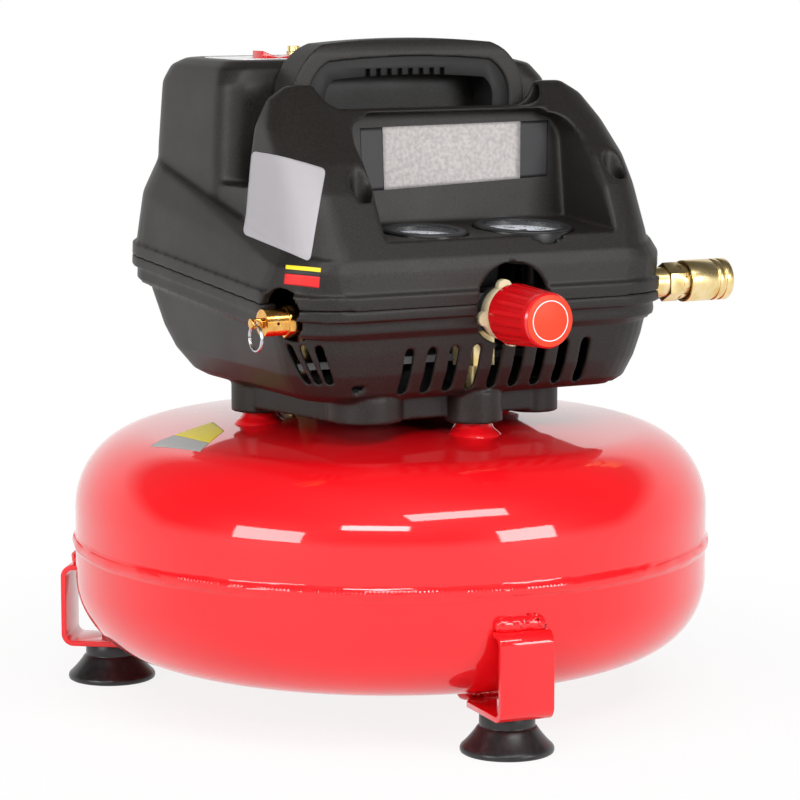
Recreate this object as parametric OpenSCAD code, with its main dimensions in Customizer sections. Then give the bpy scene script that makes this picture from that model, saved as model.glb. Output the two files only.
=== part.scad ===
// Pancake air compressor: a flat round tank on three feet carries a shrouded,
// direct-drive, oil-free piston pump with its pressure controls.
// Millimetres, +Z up, front is -Y. The origin is on the floor under the tank's centre.

/* [Tank] */
// Radius of the tank's straight side
tank_r = 175; // [160:1:178]
// Thickness of the tank's steel
tank_wall = 2; // [1.5:0.1:3]
// Height of the weld seam above the floor
seam_z = 87; // [85:1:92]
// Straight side above the seam
upper_side = 18; // [14:1:22]
// Straight side below the seam
lower_side = 20; // [16:1:22]
// Corner radius of the upper head
upper_knuckle = 44; // [38:1:46]
// Corner radius of the lower head
lower_knuckle = 40; // [36:1:42]
// Dish radius of the upper head
upper_dish = 1300; // [1100:10:1600]
// Dish radius of the lower head
lower_dish = 1000; // [900:10:1400]
// Width of the weld seam's bead
bead_w = 8.5; // [6:0.5:10]
// How far the bead stands out
bead_h = 1.6; // [1:0.1:2]

/* [Feet] */
// How far the feet's centres lie inside the tank's side
foot_inset = 15; // [13:0.5:24]
// Height of a rubber foot
foot_h = 20.5; // [20:0.5:22]
// Radius of a rubber foot's lip
foot_lip_r = 24.5; // [22:0.5:25]
// Thickness of a rubber foot's lip
foot_lip_h = 4; // [3:0.5:5]
// Radius of a rubber foot's neck
foot_neck_r = 14.5; // [12:0.5:16]
// Height of the straight neck
foot_neck_h = 7; // [5:0.5:8]
// Width of a foot bracket's strap
strap_w = 30; // [24:1:36]
// Thickness of a foot bracket's strap
strap_t = 3; // [2.5:0.1:3.2]
// Height of a foot bracket's top edge
strap_top = 67; // [62:1:74]
// Gap between the tank's side and a bracket's upright
strap_gap = 7.5; // [5:0.5:10]
// Outer bend radius of a foot bracket
strap_bend = 7; // [5:0.5:9]
// Length of a foot bracket's lower leg
strap_leg = 58; // [50:1:60]
// Radius of a foot screw
foot_screw_r = 3; // [2.5:0.1:3.5]

/* [Shroud] */
// Width of the shroud's band
band_w = 240; // [230:1:250]
// Front of the shroud's band
band_front = 114; // [112:1:118]
// Back of the shroud's band
band_back = 110; // [106:1:116]
// Corner radius of the band
band_corner = 38; // [32:1:44]
// Height of the parting line at the front
parting_z = 227; // [226:0.5:229]
// Rise of the band and the gauges towards the back, in degrees
band_tilt = 4.3; // [3.5:0.1:5]
// Band height above the parting line
band_upper = 7; // [5:0.5:8]
// Band height below the parting line
band_lower = 6; // [4:0.5:7]
// Lower edge of the collar under the band
collar_drop = 15.5; // [12:0.5:16]
// Wall of the moulded housings
shell_wall = 3; // [2.5:0.1:3.2]
// Underside of the lower housing
floor_z = 176; // [175:0.5:177]
// Height where the waist begins
waist_z = 252; // [250:1:254]
// Top of the console's shoulders
console_top = 339; // [337:1:341]
// Top of the rear hood
hood_top = 351; // [350:0.5:353]
// Bottom of the channel behind the console
channel_z = 286; // [280:1:290]
// Front of the channel
channel_front = -35; // [-36:0.5:-34]
// Back of the channel
channel_back = -9; // [-10:0.5:-8]
// Left side of the gauge recess
recess_left = -60; // [-62:1:-56]
// Right side of the gauge recess
recess_right = 78; // [74:1:80]
// Width of a vent slot
slot_w = 5.5; // [4.5:0.1:6]
// Height of a vent slot
slot_h = 25; // [22:1:27]
// Distance between vent slots
slot_pitch = 13.4; // [12:0.1:13.6]
// Number of vent slots in the front
slot_count = 9; // [7:2:9]
// Radius of a screw pocket
pocket_r = 5.6; // [4.5:0.1:6]

/* [Handle] */
// Half the width of the handle
handle_half = 71; // [68:1:73]
// Place of the handle's middle along the shroud
handle_x = -6; // [-8:1:-4]
// Top of the handle
handle_top = 362.5; // [358:0.5:366]
// Depth of the handle
handle_depth = 24; // [22:0.5:25]
// Thickness of the handle's cover
cover_t = 9.5; // [8.5:0.5:12]
// Thickness of the handle's insert
insert_t = 10; // [7:0.5:11]
// Corner radius of the handle's outline
handle_corner = 32; // [28:1:36]
// Radius of the handle's long edges
handle_round = 9; // [7:0.5:10]
// Radius of the handle's crown
handle_crown = 520; // [400:20:900]
// Number of grip notches
notches = 8; // [6:1:11]
// Distance between grip notches
notch_pitch = 6.5; // [5:0.5:7]

/* [Pressure controls] */
// Distance of the manifold's axis in front of the centre
manifold_y = 90; // [89:0.5:91]
// Height of the manifold's axis
manifold_z = 221; // [220:0.5:222]
// Height of the coupler's axis
coupler_z = 230; // [229:0.5:231]
// Thickness of the manifold bar
manifold_t = 20; // [18:0.5:21]
// Place of the regulator along the manifold
regulator_x = 10.5; // [9:0.5:12]
// Radius of the regulator's bonnet
bonnet_r = 15.5; // [14.5:0.5:15.5]
// Radius of the knob's base
knob_base_r = 16.6; // [16:0.1:18]
// Radius of the knob's face
knob_face_r = 14.4; // [14:0.1:16.5]
// Length of the knob
knob_len = 37; // [34:1:40]
// Number of grooves around the knob
knob_grooves = 18; // [14:1:24]
// Radius of the hole around the knob
knob_hole_r = 22; // [21.5:0.1:23]
// Radius of the safety valve's barrel
relief_r = 7; // [6:0.1:7.5]
// Width across flats of the safety valve's hexagon
relief_hex = 14.5; // [13:0.5:15]
// Radius of the safety valve's pull ring
pull_ring_r = 6.8; // [5.5:0.1:7]
// Radius of the coupler's sleeve
sleeve_r = 11.4; // [11:0.1:13]
// Length of the coupler's sleeve
sleeve_len = 27; // [25:0.5:30]
// Width across flats of the coupler's hexagon
coupler_hex = 18.5; // [18:0.5:21]
// Radius of the coupler's plug socket
socket_r = 6.05; // [5.5:0.05:6.5]
// Radius of the large gauge
large_gauge_r = 26.5; // [25:0.5:27]
// Radius of the small gauge
small_gauge_r = 22.5; // [20:0.5:23]
// Travel of the coupler's sleeve
sleeve_travel = 3; // [2:0.5:3]

/* [Pump and motor] */
// Radius of the motor shaft
shaft_r = 6; // [5:0.1:7]
// Height of the motor shaft
shaft_z = 240; // [238:0.5:242]
// Distance of the motor shaft behind the centre
shaft_y = 28; // [26:0.5:30]
// Stroke of the piston
stroke = 20; // [16:1:22]
// Radius of the cylinder's bore
cylinder_r = 21; // [19:0.5:22]
// Place of the cylinder along the shaft
cylinder_x = -8; // [-10:0.5:-6]
// Radius of the motor's stator
stator_r = 42; // [38:0.5:44]
// Length of the motor's stator
stator_len = 40; // [34:1:42]
// Radius of the motor's rotor
rotor_r = 22; // [20:0.5:24]
// Radius of the cooling fan
fan_r = 38; // [34:0.5:42]
// Number of fan blades
fan_blades = 7; // [5:1:9]

/* [Switch] */
// Length of the rocker's opening
rocker_len = 22; // [18:0.5:24]
// Width of the rocker's opening
rocker_w = 13; // [10:0.5:15]
// Radius of the cord inlet's bore
inlet_r = 4.2; // [3.5:0.1:4.5]

/* [Hidden] */
$fn = 64;
// Faces that are cut away reach this far past the solid
past = 1;
// Running clearance between a shaft and its bore
running = 0.05;
// Clearance between a moulded part and what passes through it
loose = 0.5;
steel_grey = [0.72, 0.73, 0.75];
paint_red = [0.85, 0.05, 0.08];
shell_black = [0.16, 0.15, 0.15];
brass_yellow = [0.85, 0.66, 0.25];

// Compass angles of the feet, counted from the front towards the right
front_foot = -6.5;
left_foot = front_foot - 120;
right_foot = front_foot + 120;
foot_circle = tank_r - foot_inset;

// Profile of one dished head, from its straight side to the axis
function head_arc(side_z, dir, knuckle, dish, inset) =
  let (r = tank_r - inset, rk = knuckle - inset, rd = dish - inset,
    edge = asin((r - rk) / (rd - rk)),
    centre_z = side_z - dir * (rd - rk) * cos(edge))
  concat(
    [for (i = [0:10]) let (u = (90 - edge) * i / 10)
      [r - rk + rk * cos(u), side_z + dir * rk * sin(u)]],
    [for (i = [1:8]) let (v = edge * (1 - i / 8))
      [rd * sin(v), centre_z + dir * rd * cos(v)]]);
upper_side_z = seam_z + upper_side;
lower_side_z = seam_z - lower_side;
function reversed(list) = [for (i = [len(list) - 1:-1:0]) list[i]];
function last(list) = list[len(list) - 1];
upper_outside = head_arc(upper_side_z, 1, upper_knuckle, upper_dish, 0);
upper_inside = head_arc(upper_side_z, 1, upper_knuckle, upper_dish, tank_wall);
lower_outside = head_arc(lower_side_z, -1, lower_knuckle, lower_dish, 0);
lower_inside = head_arc(lower_side_z, -1, lower_knuckle, lower_dish, tank_wall);
tank_top_z = last(upper_outside)[1];
tank_bottom_z = last(lower_outside)[1];
// Height of the upper head's outside at a distance from the axis
function tank_top_at(r) = tank_top_z - upper_dish + sqrt(pow(upper_dish, 2) - r * r);

strap_out = tank_r + strap_gap + strap_t;
strap_seat = 0.3;
post_r = 8;
post_top = floor_z - 6;
boss_r = 15.5;
boss_bottom = tank_top_at(80) + 6.5;
isolator_r = 10;
isolator_flange_r = 13.5;
isolator_flange_h = 3;
floor_top = floor_z + shell_wall;
deck_z = floor_top + isolator_flange_h;
deck_t = 4;
front_post = [8, -78];
pump_posts = [[-74, 14], [74, 14], [-50, 57], [50, 57]];
post_places = concat([front_post], pump_posts);
// Blind bosses under the front corners: place, radius and how far up they end
corner_bosses = [[-55, -73, 20, 4], [54, -62, 14, 1]];

// Plan levels of the housings: height at the front, left, right, front, back,
// radius of the front corners, radius of the back corners and rise in degrees
band_x = band_w / 2;
lower_levels = [
  [floor_z, -88, 100, -88, 69, 24, 24, 0],
  [floor_z + 4, -95, 105, -94, 76, 28, 28, 0],
  [floor_z + 15, -102.5, 108.5, -100, 84, 30, 30, 0],
  [floor_z + 27, -107, 110.5, -104, 89.5, 30, 30, 0],
  [parting_z - band_lower + 0.6, 6 - band_x, band_x - 6, 5 - band_front, band_back - 6,
    33, 33, band_tilt]];
apron_levels = [
  [parting_z + band_upper, 2 - band_x, band_x - 2, 1 - band_front, band_back - 2,
    37, 37, band_tilt],
  [waist_z - 6, -115.5, 115.5, -112.5, 105, 30, 36, 9],
  [waist_z, -109.5, 109.5, -111.5, 99, 26, 34, 12.9]];
console_levels = [
  [waist_z, -108.5, 108.5, -111.5, channel_front, 26, 4, 0],
  [waist_z + 10, -107, 107, -106.5, channel_front, 22, 4, 0],
  [waist_z + 33, -105.5, 105.5, -95, channel_front, 19, 4, 0],
  [waist_z + 48, -104.5, 104.5, -84, channel_front, 17, 4, 0],
  [waist_z + 66, -102, 102, -64, channel_front, 14, 5, 0],
  [console_top - 7, -95, 95, -48, channel_front, 7, 5, 0],
  [console_top, -84, 84, -42, channel_front - 1.5, 2.5, 2.5, 0]];
hood_levels = [
  [waist_z, -107, 106, channel_back, 98, 14, 30, 0],
  [waist_z + 50, -106, 104, channel_back, 96, 14, 28, 0],
  [hood_top - 13, -104, 98, channel_back, 93, 14, 27, 0],
  [hood_top - 4, -101, 90, channel_back + 2.5, 87, 14, 26, 0],
  [hood_top, -95, 74, channel_back + 9, 78, 12, 24, 0]];
waist_x = 105;

// A plan level drawn inwards by t and lowered by dz
function drawn_in(level, t, dz) =
  [level[0] + dz, level[1] + t, level[2] - t, level[3] + t, level[4] - t,
    max(level[5] - t, 1), max(level[6] - t, 1), level[7]];
// Children turned up towards the back about a line at a front edge
module risen(front, height, angle) {
  translate([0, front, height]) rotate([angle, 0, 0]) translate([0, -front, -height]) children();
}
module plan_slab(level) {
  risen(level[3], level[0], level[7])
    for (x = [0, 1])
      for (y = [0, 1])
        let (r = y == 0 ? level[5] : level[6],
          px = x == 0 ? level[1] + r : level[2] - r,
          py = y == 0 ? level[3] + r : level[4] - r)
          translate([px, py, level[0] - 0.01]) cylinder(r = r, h = 0.01, $fn = 32);
}
// One tier of the band, drawn in by t
module band_tier(t, low, high) {
  on_band() rounded_block(t - band_x, band_x - t, t - band_front, band_back - t,
    parting_z + low, parting_z + high, band_corner - t);
}
module on_band() {
  risen(-band_front, parting_z, band_tilt) children();
}
module stacked(levels) {
  hull() for (level = levels) plan_slab(level);
}
module rounded_block(x0, x1, y0, y1, z0, z1, r) {
  translate([(x0 + x1) / 2, (y0 + y1) / 2, z0]) linear_extrude(z1 - z0) {
    square([x1 - x0 - 2 * r, y1 - y0], center = true);
    square([x1 - x0, y1 - y0 - 2 * r], center = true);
    for (sx = [-1, 1])
      for (sy = [-1, 1])
        translate([sx * ((x1 - x0) / 2 - r), sy * ((y1 - y0) / 2 - r)]) circle(r = r);
  }
}
module along_x(x0, x1, r) {
  translate([x0, 0, 0]) rotate([0, 90, 0]) cylinder(r = r, h = x1 - x0);
}
module along_y(y0, y1, r) {
  translate([0, y0, 0]) rotate([-90, 0, 0]) cylinder(r = r, h = y1 - y0);
}
module hex_x(x0, x1, flats) {
  translate([x0, 0, 0]) rotate([0, 90, 0]) cylinder(r = flats / 2 / cos(30), h = x1 - x0, $fn = 6);
}
module ring(r_out, r_in, z0, z1) {
  translate([0, 0, z0]) difference() {
    cylinder(r = r_out, h = z1 - z0);
    translate([0, 0, -past]) cylinder(r = r_in, h = z1 - z0 + 2 * past);
  }
}
// A helical spring along +Z as one swept tube of a square-ish wire
module coil_spring(r, wire, length, turns) {
  steps = 14;
  sides = 6;
  n = turns * steps;
  points = [for (i = [0:n]) let (a = 360 * i / steps, z = wire + (length - 2 * wire) * i / n)
    for (k = [0:sides - 1]) let (b = 360 * k / sides)
      [(r + wire * cos(b)) * cos(a), (r + wire * cos(b)) * sin(a), z + wire * sin(b)]];
  sides_faces = [for (i = [0:n - 1])
    for (k = [0:sides - 1]) let (m = (k + 1) % sides, p = i * sides)
      [p + k, p + m, p + sides + m, p + sides + k]];
  ends = [[for (k = [sides - 1:-1:0]) k], [for (k = [0:sides - 1]) n * sides + k]];
  polyhedron(points = points, faces = concat(sides_faces, ends), convexity = 6);
}

// ---- Tank -------------------------------------------------------------
module tank_solid() {
  rotate_extrude($fn = 128) polygon(concat(
    reversed(lower_outside), upper_outside));
}
module tank_upper_shell() {
  color(paint_red) difference() {
    rotate_extrude($fn = 128) polygon(concat(
      [[tank_r - tank_wall, seam_z], [tank_r, seam_z]], upper_outside, reversed(upper_inside)));
    translate(concat(front_post, [tank_top_z - 20])) cylinder(r = riser_bore, h = 40);
    translate(concat(check_place, [tank_top_z - 20])) cylinder(r = check_thread_r, h = 40);
  }
}
module tank_lower_shell() {
  color(paint_red) difference() {
    rotate_extrude($fn = 128) polygon(concat(
      [[tank_r, seam_z], [tank_r - tank_wall, seam_z]], lower_inside, reversed(lower_outside)));
    drain_frame() translate([0, 0, -30]) cylinder(r = drain_thread_r, h = 60);
  }
}
module weld_beads() {
  color(paint_red) {
    rotate_extrude($fn = 128) polygon(concat([[tank_r, seam_z - bead_w / 2]],
      [for (i = [1:7]) let (u = 180 * i / 8)
        [tank_r + bead_h * sin(u), seam_z - bead_w / 2 * cos(u)]],
      [[tank_r, seam_z + bead_w / 2]]));
    for (angle = [front_foot, left_foot, right_foot])
      rotate([0, 0, angle]) difference() {
        for (weld = [[tank_r + 0.5, strap_top + 3], [strap_out - strap_leg + 1, foot_h + 5]])
          hull() for (s = [-1, 1])
            translate([s * (strap_w / 2 - 5), -weld[0], weld[1]]) sphere(r = 4.2, $fn = 16);
        tank_solid();
        top_plate();
        leg_plate();
      }
  }
}
// The foot bracket's upright stretch, as a plain plate
module strap_plate() {
  translate([-strap_w / 2, -strap_out, foot_h + strap_bend])
    cube([strap_w, strap_t, strap_top - foot_h - 2 * strap_bend]);
}
// The short leg that turns in to the tank at the top
module top_plate() {
  translate([-strap_w / 2, -strap_out + strap_bend, strap_top - strap_t])
    cube([strap_w, strap_gap + strap_t - strap_bend - strap_seat, strap_t]);
}
// The bracket's lower leg with its inner corners cut off
module leg_plate() {
  cut = [strap_w * 0.3, strap_leg * 0.25];
  inner = strap_leg - strap_bend;
  translate([0, -strap_out + strap_bend, foot_h]) linear_extrude(strap_t) polygon([
    [-strap_w / 2, 0], [strap_w / 2, 0], [strap_w / 2, inner - cut[1]],
    [strap_w / 2 - cut[0], inner], [cut[0] - strap_w / 2, inner], [-strap_w / 2, inner - cut[1]]]);
}
// A quarter turn of the strap, low or high
module strap_turn(up) {
  z = up > 0 ? strap_top - strap_bend : foot_h + strap_bend;
  translate([0, -strap_out + strap_bend, z]) intersection() {
    difference() {
      along_x(-strap_w / 2, strap_w / 2, strap_bend);
      along_x(-strap_w / 2 - past, strap_w / 2 + past, strap_bend - strap_t);
    }
    translate([-strap_w / 2, -strap_bend, up > 0 ? 0 : -strap_bend])
      cube([strap_w, strap_bend, strap_bend]);
  }
}
module foot_bracket(angle) {
  color(paint_red) rotate([0, 0, angle]) difference() {
    union() {
      strap_plate();
      leg_plate();
      top_plate();
      for (up = [-1, 1]) strap_turn(up);
    }
    translate([0, -foot_circle, foot_h - past])
      cylinder(r = foot_screw_r + 0.25, h = strap_t + 2 * past);
  }
}
module foot_bracket_front() foot_bracket(front_foot);
module foot_bracket_left() foot_bracket(left_foot);
module foot_bracket_right() foot_bracket(right_foot);

module rubber_foot(angle) {
  flare_h = foot_h - foot_neck_h - foot_lip_h;
  flare_r = foot_lip_r - foot_neck_r;
  color([0.06, 0.06, 0.07]) rotate([0, 0, angle]) translate([0, -foot_circle, 0])
    rotate_extrude() polygon(concat(
      [[foot_lip_r - 5, 0], [foot_lip_r - 0.8, 0], [foot_lip_r, foot_lip_h * 0.4],
        [foot_lip_r - 0.4, foot_lip_h]],
      [for (i = [1:6]) let (u = 90 * i / 6)
        [foot_lip_r - flare_r * sin(u), foot_lip_h + flare_h * (1 - cos(u))]],
      [[foot_neck_r, foot_h], [foot_screw_r + 0.25, foot_h],
        [foot_screw_r + 0.25, foot_h - 6], [foot_head_r + 1, foot_h - 6],
        [foot_head_r + 1, 4]]));
}
foot_head_r = 7;
module rubber_foot_front() rubber_foot(front_foot);
module rubber_foot_left() rubber_foot(left_foot);
module rubber_foot_right() rubber_foot(right_foot);

module foot_screws() {
  nut_h = 4.5;
  head_h = 3.5;
  color(steel_grey) for (angle = [front_foot, left_foot, right_foot])
    rotate([0, 0, angle]) translate([0, -foot_circle, 0]) {
      translate([0, 0, foot_h - 6 - head_h]) cylinder(r = foot_head_r, h = head_h);
      translate([0, 0, foot_h - 6 - past]) cylinder(r = foot_screw_r, h = 6 + strap_t + nut_h + past);
      translate([0, 0, foot_h + strap_t])
        cylinder(r = foot_screw_r * 1.9, h = nut_h, $fn = 6);
    }
}

// ---- Posts, isolators and tank fittings --------------------------------
riser_bore = 5;
riser_r = 7;
check_place = [-46, 22];
check_thread_r = 6;
module shroud_posts() {
  color(paint_red) difference() {
    for (p = post_places) translate([p[0], p[1], tank_top_z - 20]) {
      cylinder(r = post_r, h = post_top - tank_top_z + 20);
      cylinder(r = post_r + 3.5, h = tank_top_at(norm(p)) + 1.6 - tank_top_z + 20);
    }
    tank_solid();
    translate(concat(front_post, [tank_top_z - 25])) cylinder(r = riser_bore, h = 60);
  }
}
module isolator_mounts() {
  color([0.09, 0.09, 0.1]) for (p = pump_posts) translate([p[0], p[1], 0]) {
    translate([0, 0, post_top]) cylinder(r = isolator_r, h = floor_top - post_top + past);
    translate([0, 0, floor_top]) cylinder(r = isolator_flange_r, h = isolator_flange_h);
  }
}
module outlet_riser() {
  color(brass_yellow) translate(concat(front_post, [0])) {
    ring(riser_r, riser_bore - 1.5, post_top, floor_top + 12);
    translate([0, 0, floor_top + 12]) difference() {
      cylinder(r = 11 / cos(30), h = riser_nut_top - floor_top - 12, $fn = 6);
      translate([0, 0, -past]) cylinder(r = riser_bore - 1.5, h = 40);
    }
  }
}
riser_nut_top = manifold_z - manifold_t / 2;

// The drain cock sits in the tank's lower corner at the back
drain_thread_r = 6;
drain_angle = 180;
drain_tilt = 125;
module drain_frame() {
  rotate([0, 0, drain_angle]) translate([0, -(tank_r - lower_knuckle), lower_side_z])
    rotate([drain_tilt, 0, 0]) translate([0, 0, lower_knuckle]) children();
}
module drain_valve_body() {
  color(brass_yellow) drain_frame() difference() {
    union() {
      translate([0, 0, -tank_wall - 3]) cylinder(r = drain_thread_r, h = tank_wall + 4);
      cylinder(r = 7.5 / cos(30), h = 5, $fn = 6);
      translate([0, 0, 4]) cylinder(r = 5, h = 5);
    }
    translate([0, 0, -10]) cylinder(r = 2.5 + running, h = 30);
  }
}
module drain_screw() {
  color(brass_yellow) drain_frame() {
    translate([0, 0, 1]) cylinder(r = 2.5, h = 9);
    translate([0, 0, 9.5]) cylinder(r = 6, h = 2.5);
    translate([-7, -1.2, 9.5]) cube([14, 2.4, 6]);
  }
}
module check_valve() {
  z0 = tank_top_at(norm(check_place));
  color(brass_yellow) translate([check_place[0], check_place[1], 0]) difference() {
    union() {
      translate([0, 0, z0 - 6]) cylinder(r = check_thread_r, h = 8);
      translate([0, 0, z0 + 0.6]) cylinder(r = 9.5 / cos(30), h = 12, $fn = 6);
      translate([0, 0, z0 + 12]) cylinder(r = 7, h = check_top - z0 - 12);
    }
    translate([0, 0, z0 - 10]) cylinder(r = tube_r + running, h = check_top - z0 + 20);
  }
}
tube_r = 4;
check_top = floor_top + 16;

// ---- Housings -----------------------------------------------------------
module knob_opening() {
  translate([regulator_x + 1.5, 0, manifold_z + 5])
    along_y(-band_front - 20, -band_front + 30, knob_hole_r);
}
module relief_opening() {
  open_r = relief_r + 3.5;
  translate([0, -manifold_y, manifold_z]) {
    for (z = [0, 7]) translate([0, -z / 4, z]) along_x(-band_x - 20, -band_x + 40, open_r);
  }
}
module coupler_opening() {
  translate([0, -manifold_y, coupler_z])
    along_x(band_x - 40, band_x + 20, coupler_hex / 2 / cos(30) + 1.5);
}
module control_openings() {
  knob_opening();
  relief_opening();
  coupler_opening();
}
// The recess over the gauges; t draws its walls outwards by a wall thickness
ledge_front_z = 260.5;
ledge_y = -55;
recess_roof_z = 322;
module gauge_recess(t) {
  ledge_rear_z = ledge_front_z + (band_front + ledge_y) * tan(band_tilt);
  corner = 14 + t;
  intersection() {
    translate([recess_left - t, 0, 0]) rotate([90, 0, 90])
      linear_extrude(recess_right - recess_left + 2 * t) polygon([
        [-band_front - 20, ledge_front_z - 1.7 - t], [-band_front, ledge_front_z - t],
        [ledge_y + t, ledge_rear_z - t], [ledge_y + 8 + t, recess_roof_z],
        [ledge_y + 4 + t / 2, recess_roof_z + 5 + t], [-band_front - 20, recess_roof_z + 22 + t]]);
    rotate([90, 0, 0]) linear_extrude(200) {
      translate([recess_left - t, 200]) square([recess_right - recess_left + 2 * t, recess_roof_z + t - 200 - corner]);
      translate([recess_left - t + corner, 200])
        square([recess_right - recess_left + 2 * t - 2 * corner, recess_roof_z + 2 + t - 200]);
      for (x = [recess_left - t + corner, recess_right + t - corner])
        translate([x, recess_roof_z + t - corner]) circle(r = corner);
    }
  }
}
module hand_channel(t) {
  translate([-band_x, channel_front - t, channel_z - t])
    cube([2 * band_x, channel_back - channel_front + 2 * t, 100]);
}
// The console's rim is lower in its middle, to leave room for a hand
module rim_dip() {
  half = 68;
  depth = 13;
  translate([0, channel_front + 10, 0]) rotate([90, 0, 0]) linear_extrude(60) {
    translate([-half + depth, console_top - depth]) square([2 * (half - depth), 40]);
    translate([-half, console_top]) square([2 * half, 40]);
    for (s = [-1, 1]) translate([s * (half - depth), console_top]) circle(r = depth);
  }
}
pocket_places = [[-67, -91], [90, -86]];
pocket_floor = 262;
gauge_clear = 0.5;
module upper_housing() {
  color(shell_black) difference() {
    union() {
      band_tier(0, 0, band_upper);
      stacked(apron_levels);
      stacked(console_levels);
      stacked(hood_levels);
      translate([-waist_x, -60, waist_z]) cube([2 * waist_x, 120, channel_z - waist_z]);
    }
    difference() {
      union() {
        stacked(concat([drawn_in(apron_levels[0], shell_wall, -band_upper - past)],
          [for (level = apron_levels) drawn_in(level, shell_wall, -shell_wall)]));
        stacked([for (level = console_levels) drawn_in(level, shell_wall, -shell_wall)]);
        stacked([for (level = hood_levels) drawn_in(level, shell_wall, -shell_wall)]);
        translate([shell_wall - waist_x, -60, waist_z - 4])
          cube([2 * (waist_x - shell_wall), 120, channel_z - waist_z + 4 - shell_wall]);
      }
      gauge_recess(shell_wall);
      hand_channel(shell_wall);
      for (p = pocket_places) translate([p[0], p[1], pocket_floor - shell_wall])
        cylinder(r = pocket_r + 2, h = 100);
    }
    gauge_recess(0);
    hand_channel(0);
    rim_dip();
    for (p = pocket_places) translate([p[0], p[1], 0]) {
      translate([0, 0, pocket_floor]) cylinder(r = pocket_r, h = 100);
      translate([0, 0, pocket_floor - 10]) cylinder(r = housing_screw_r + 0.3, h = 20);
    }
    control_openings();
    gauge_frame(large_gauge) translate([0, 0, -30]) cylinder(r = large_gauge_r + gauge_clear, h = 60);
    gauge_frame(small_gauge) translate([0, 0, -30]) cylinder(r = small_gauge_r + gauge_clear, h = 60);
    translate([inlet_place[0], 0, inlet_place[1]]) {
      along_y(inlet_wall - 20, inlet_wall + past, inlet_r + 4);
      along_y(inlet_wall, inlet_wall + 20, inlet_r + 7);
    }
    rounded_block(plate_box[0], plate_box[1], plate_box[2], plate_box[3],
      hood_top - plate_t, hood_top + past, 5);
    translate([rocker_place[0] - rocker_len / 2 - 1.5, rocker_place[1] - rocker_w / 2 - 1.5, hood_top - 10])
      cube([rocker_len + 3, rocker_w + 3, 20]);
    translate([unloader_place[0], unloader_place[1], hood_top - 10]) cylinder(r = unloader_r + 0.5, h = 20);
  }
}
module vent_slots() {
  first = 9 - (slot_count - 1) / 2 * slot_pitch;
  straight = (slot_h - slot_w) / 2;
  for (i = [0:slot_count - 1])
    translate([first + i * slot_pitch, 0, floor_z + 16]) {
      translate([-slot_w / 2, -band_front - 5, -straight]) cube([slot_w, 40, 2 * straight]);
      for (s = [-1, 1]) translate([0, 0, s * straight]) along_y(-band_front - 5, -band_front + 35, slot_w / 2);
    }
}
// Three slanted slots around the front left corner
module side_slots() {
  straight = 9;
  half_w = 2.1;
  for (angle = [27, 42, 57])
    translate([-76, -73, floor_z + 22]) rotate([0, 0, angle]) rotate([-14, 0, 0]) {
      translate([-45, -half_w, -straight]) cube([30, 2 * half_w, 2 * straight]);
      for (s = [-1, 1]) translate([0, 0, s * straight]) along_x(-45, -15, half_w);
    }
}
// The skirt that joins the bosses under the lower housing
module pedestal(r, z0, z1) {
  hull() for (p = [[-73, 12], [-60, -66], [54, -62], [73, 12], [48, 58], [-48, 58]])
    translate([p[0], p[1], z0]) cylinder(r = r, h = z1 - z0, $fn = 32);
}
module lower_housing() {
  color(shell_black) difference() {
    union() {
      band_tier(0, -band_lower, 0);
      band_tier(3, 2 - collar_drop, 0.5 - band_lower);
      band_tier(5, -collar_drop, 3 - collar_drop);
      stacked(lower_levels);
      for (p = post_places) translate([p[0], p[1], boss_bottom])
        cylinder(r = boss_r, h = floor_z - boss_bottom + past);
      for (b = corner_bosses) translate([b[0], b[1], boss_bottom + b[3]])
        cylinder(r = b[2], h = floor_z - boss_bottom - b[3] + past);
      difference() {
        pedestal(12, boss_bottom + 3, floor_z + past);
        pedestal(9, boss_bottom, floor_z);
      }
    }
    difference() {
      stacked(concat([for (level = lower_levels) drawn_in(level, shell_wall, 0)],
        [drawn_in(last(lower_levels), shell_wall, band_lower + past)]));
      translate([-200, -200, floor_z - past]) cube([400, 400, shell_wall + past]);
    }
    for (p = post_places) translate([p[0], p[1], boss_bottom - past])
      cylinder(r = isolator_r + loose, h = 40);
    for (b = corner_bosses) translate([b[0], b[1], boss_bottom + b[3] + shell_wall])
      cylinder(r = b[2] - 2 * shell_wall, h = floor_z - boss_bottom - b[3] + past);
    translate([check_place[0], check_place[1], floor_z - past]) cylinder(r = 12, h = 20);
    for (p = [[-71, -97], [91, -84]]) translate([p[0], p[1], floor_z - past]) cylinder(r = 4, h = 11);
    vent_slots();
    side_slots();
    control_openings();
  }
}

// Arch of the handle as seen from the front
module arch(t) {
  half = handle_half - t;
  top = handle_top - t;
  corner = handle_corner - t;
  intersection() {
    union() {
      translate([-half, channel_z]) square([2 * half, top - corner - channel_z]);
      translate([-half + corner, channel_z]) square([2 * (half - corner), top - channel_z]);
      for (s = [-1, 1]) translate([s * (half - corner), top - corner]) circle(r = corner);
    }
    translate([0, handle_top - handle_crown]) circle(r = handle_crown - t, $fn = 360);
  }
}
handle_under = handle_top - cover_t - insert_t;
handle_y = (channel_front + channel_back) / 2;
module handle_section(depth, round_r) {
  translate([-100, handle_y, 0]) rotate([90, 0, 90]) linear_extrude(200) {
    translate([-depth / 2, channel_z]) square([depth, handle_top - round_r - channel_z]);
    translate([-depth / 2 + round_r, channel_z]) square([depth - 2 * round_r, handle_top - channel_z]);
    for (s = [-1, 1]) translate([s * (depth / 2 - round_r), handle_top - round_r]) circle(r = round_r);
  }
}
module extruded_arch(depth) {
  translate([handle_x, handle_y + depth / 2, 0]) rotate([90, 0, 0]) linear_extrude(depth) children();
}
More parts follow.
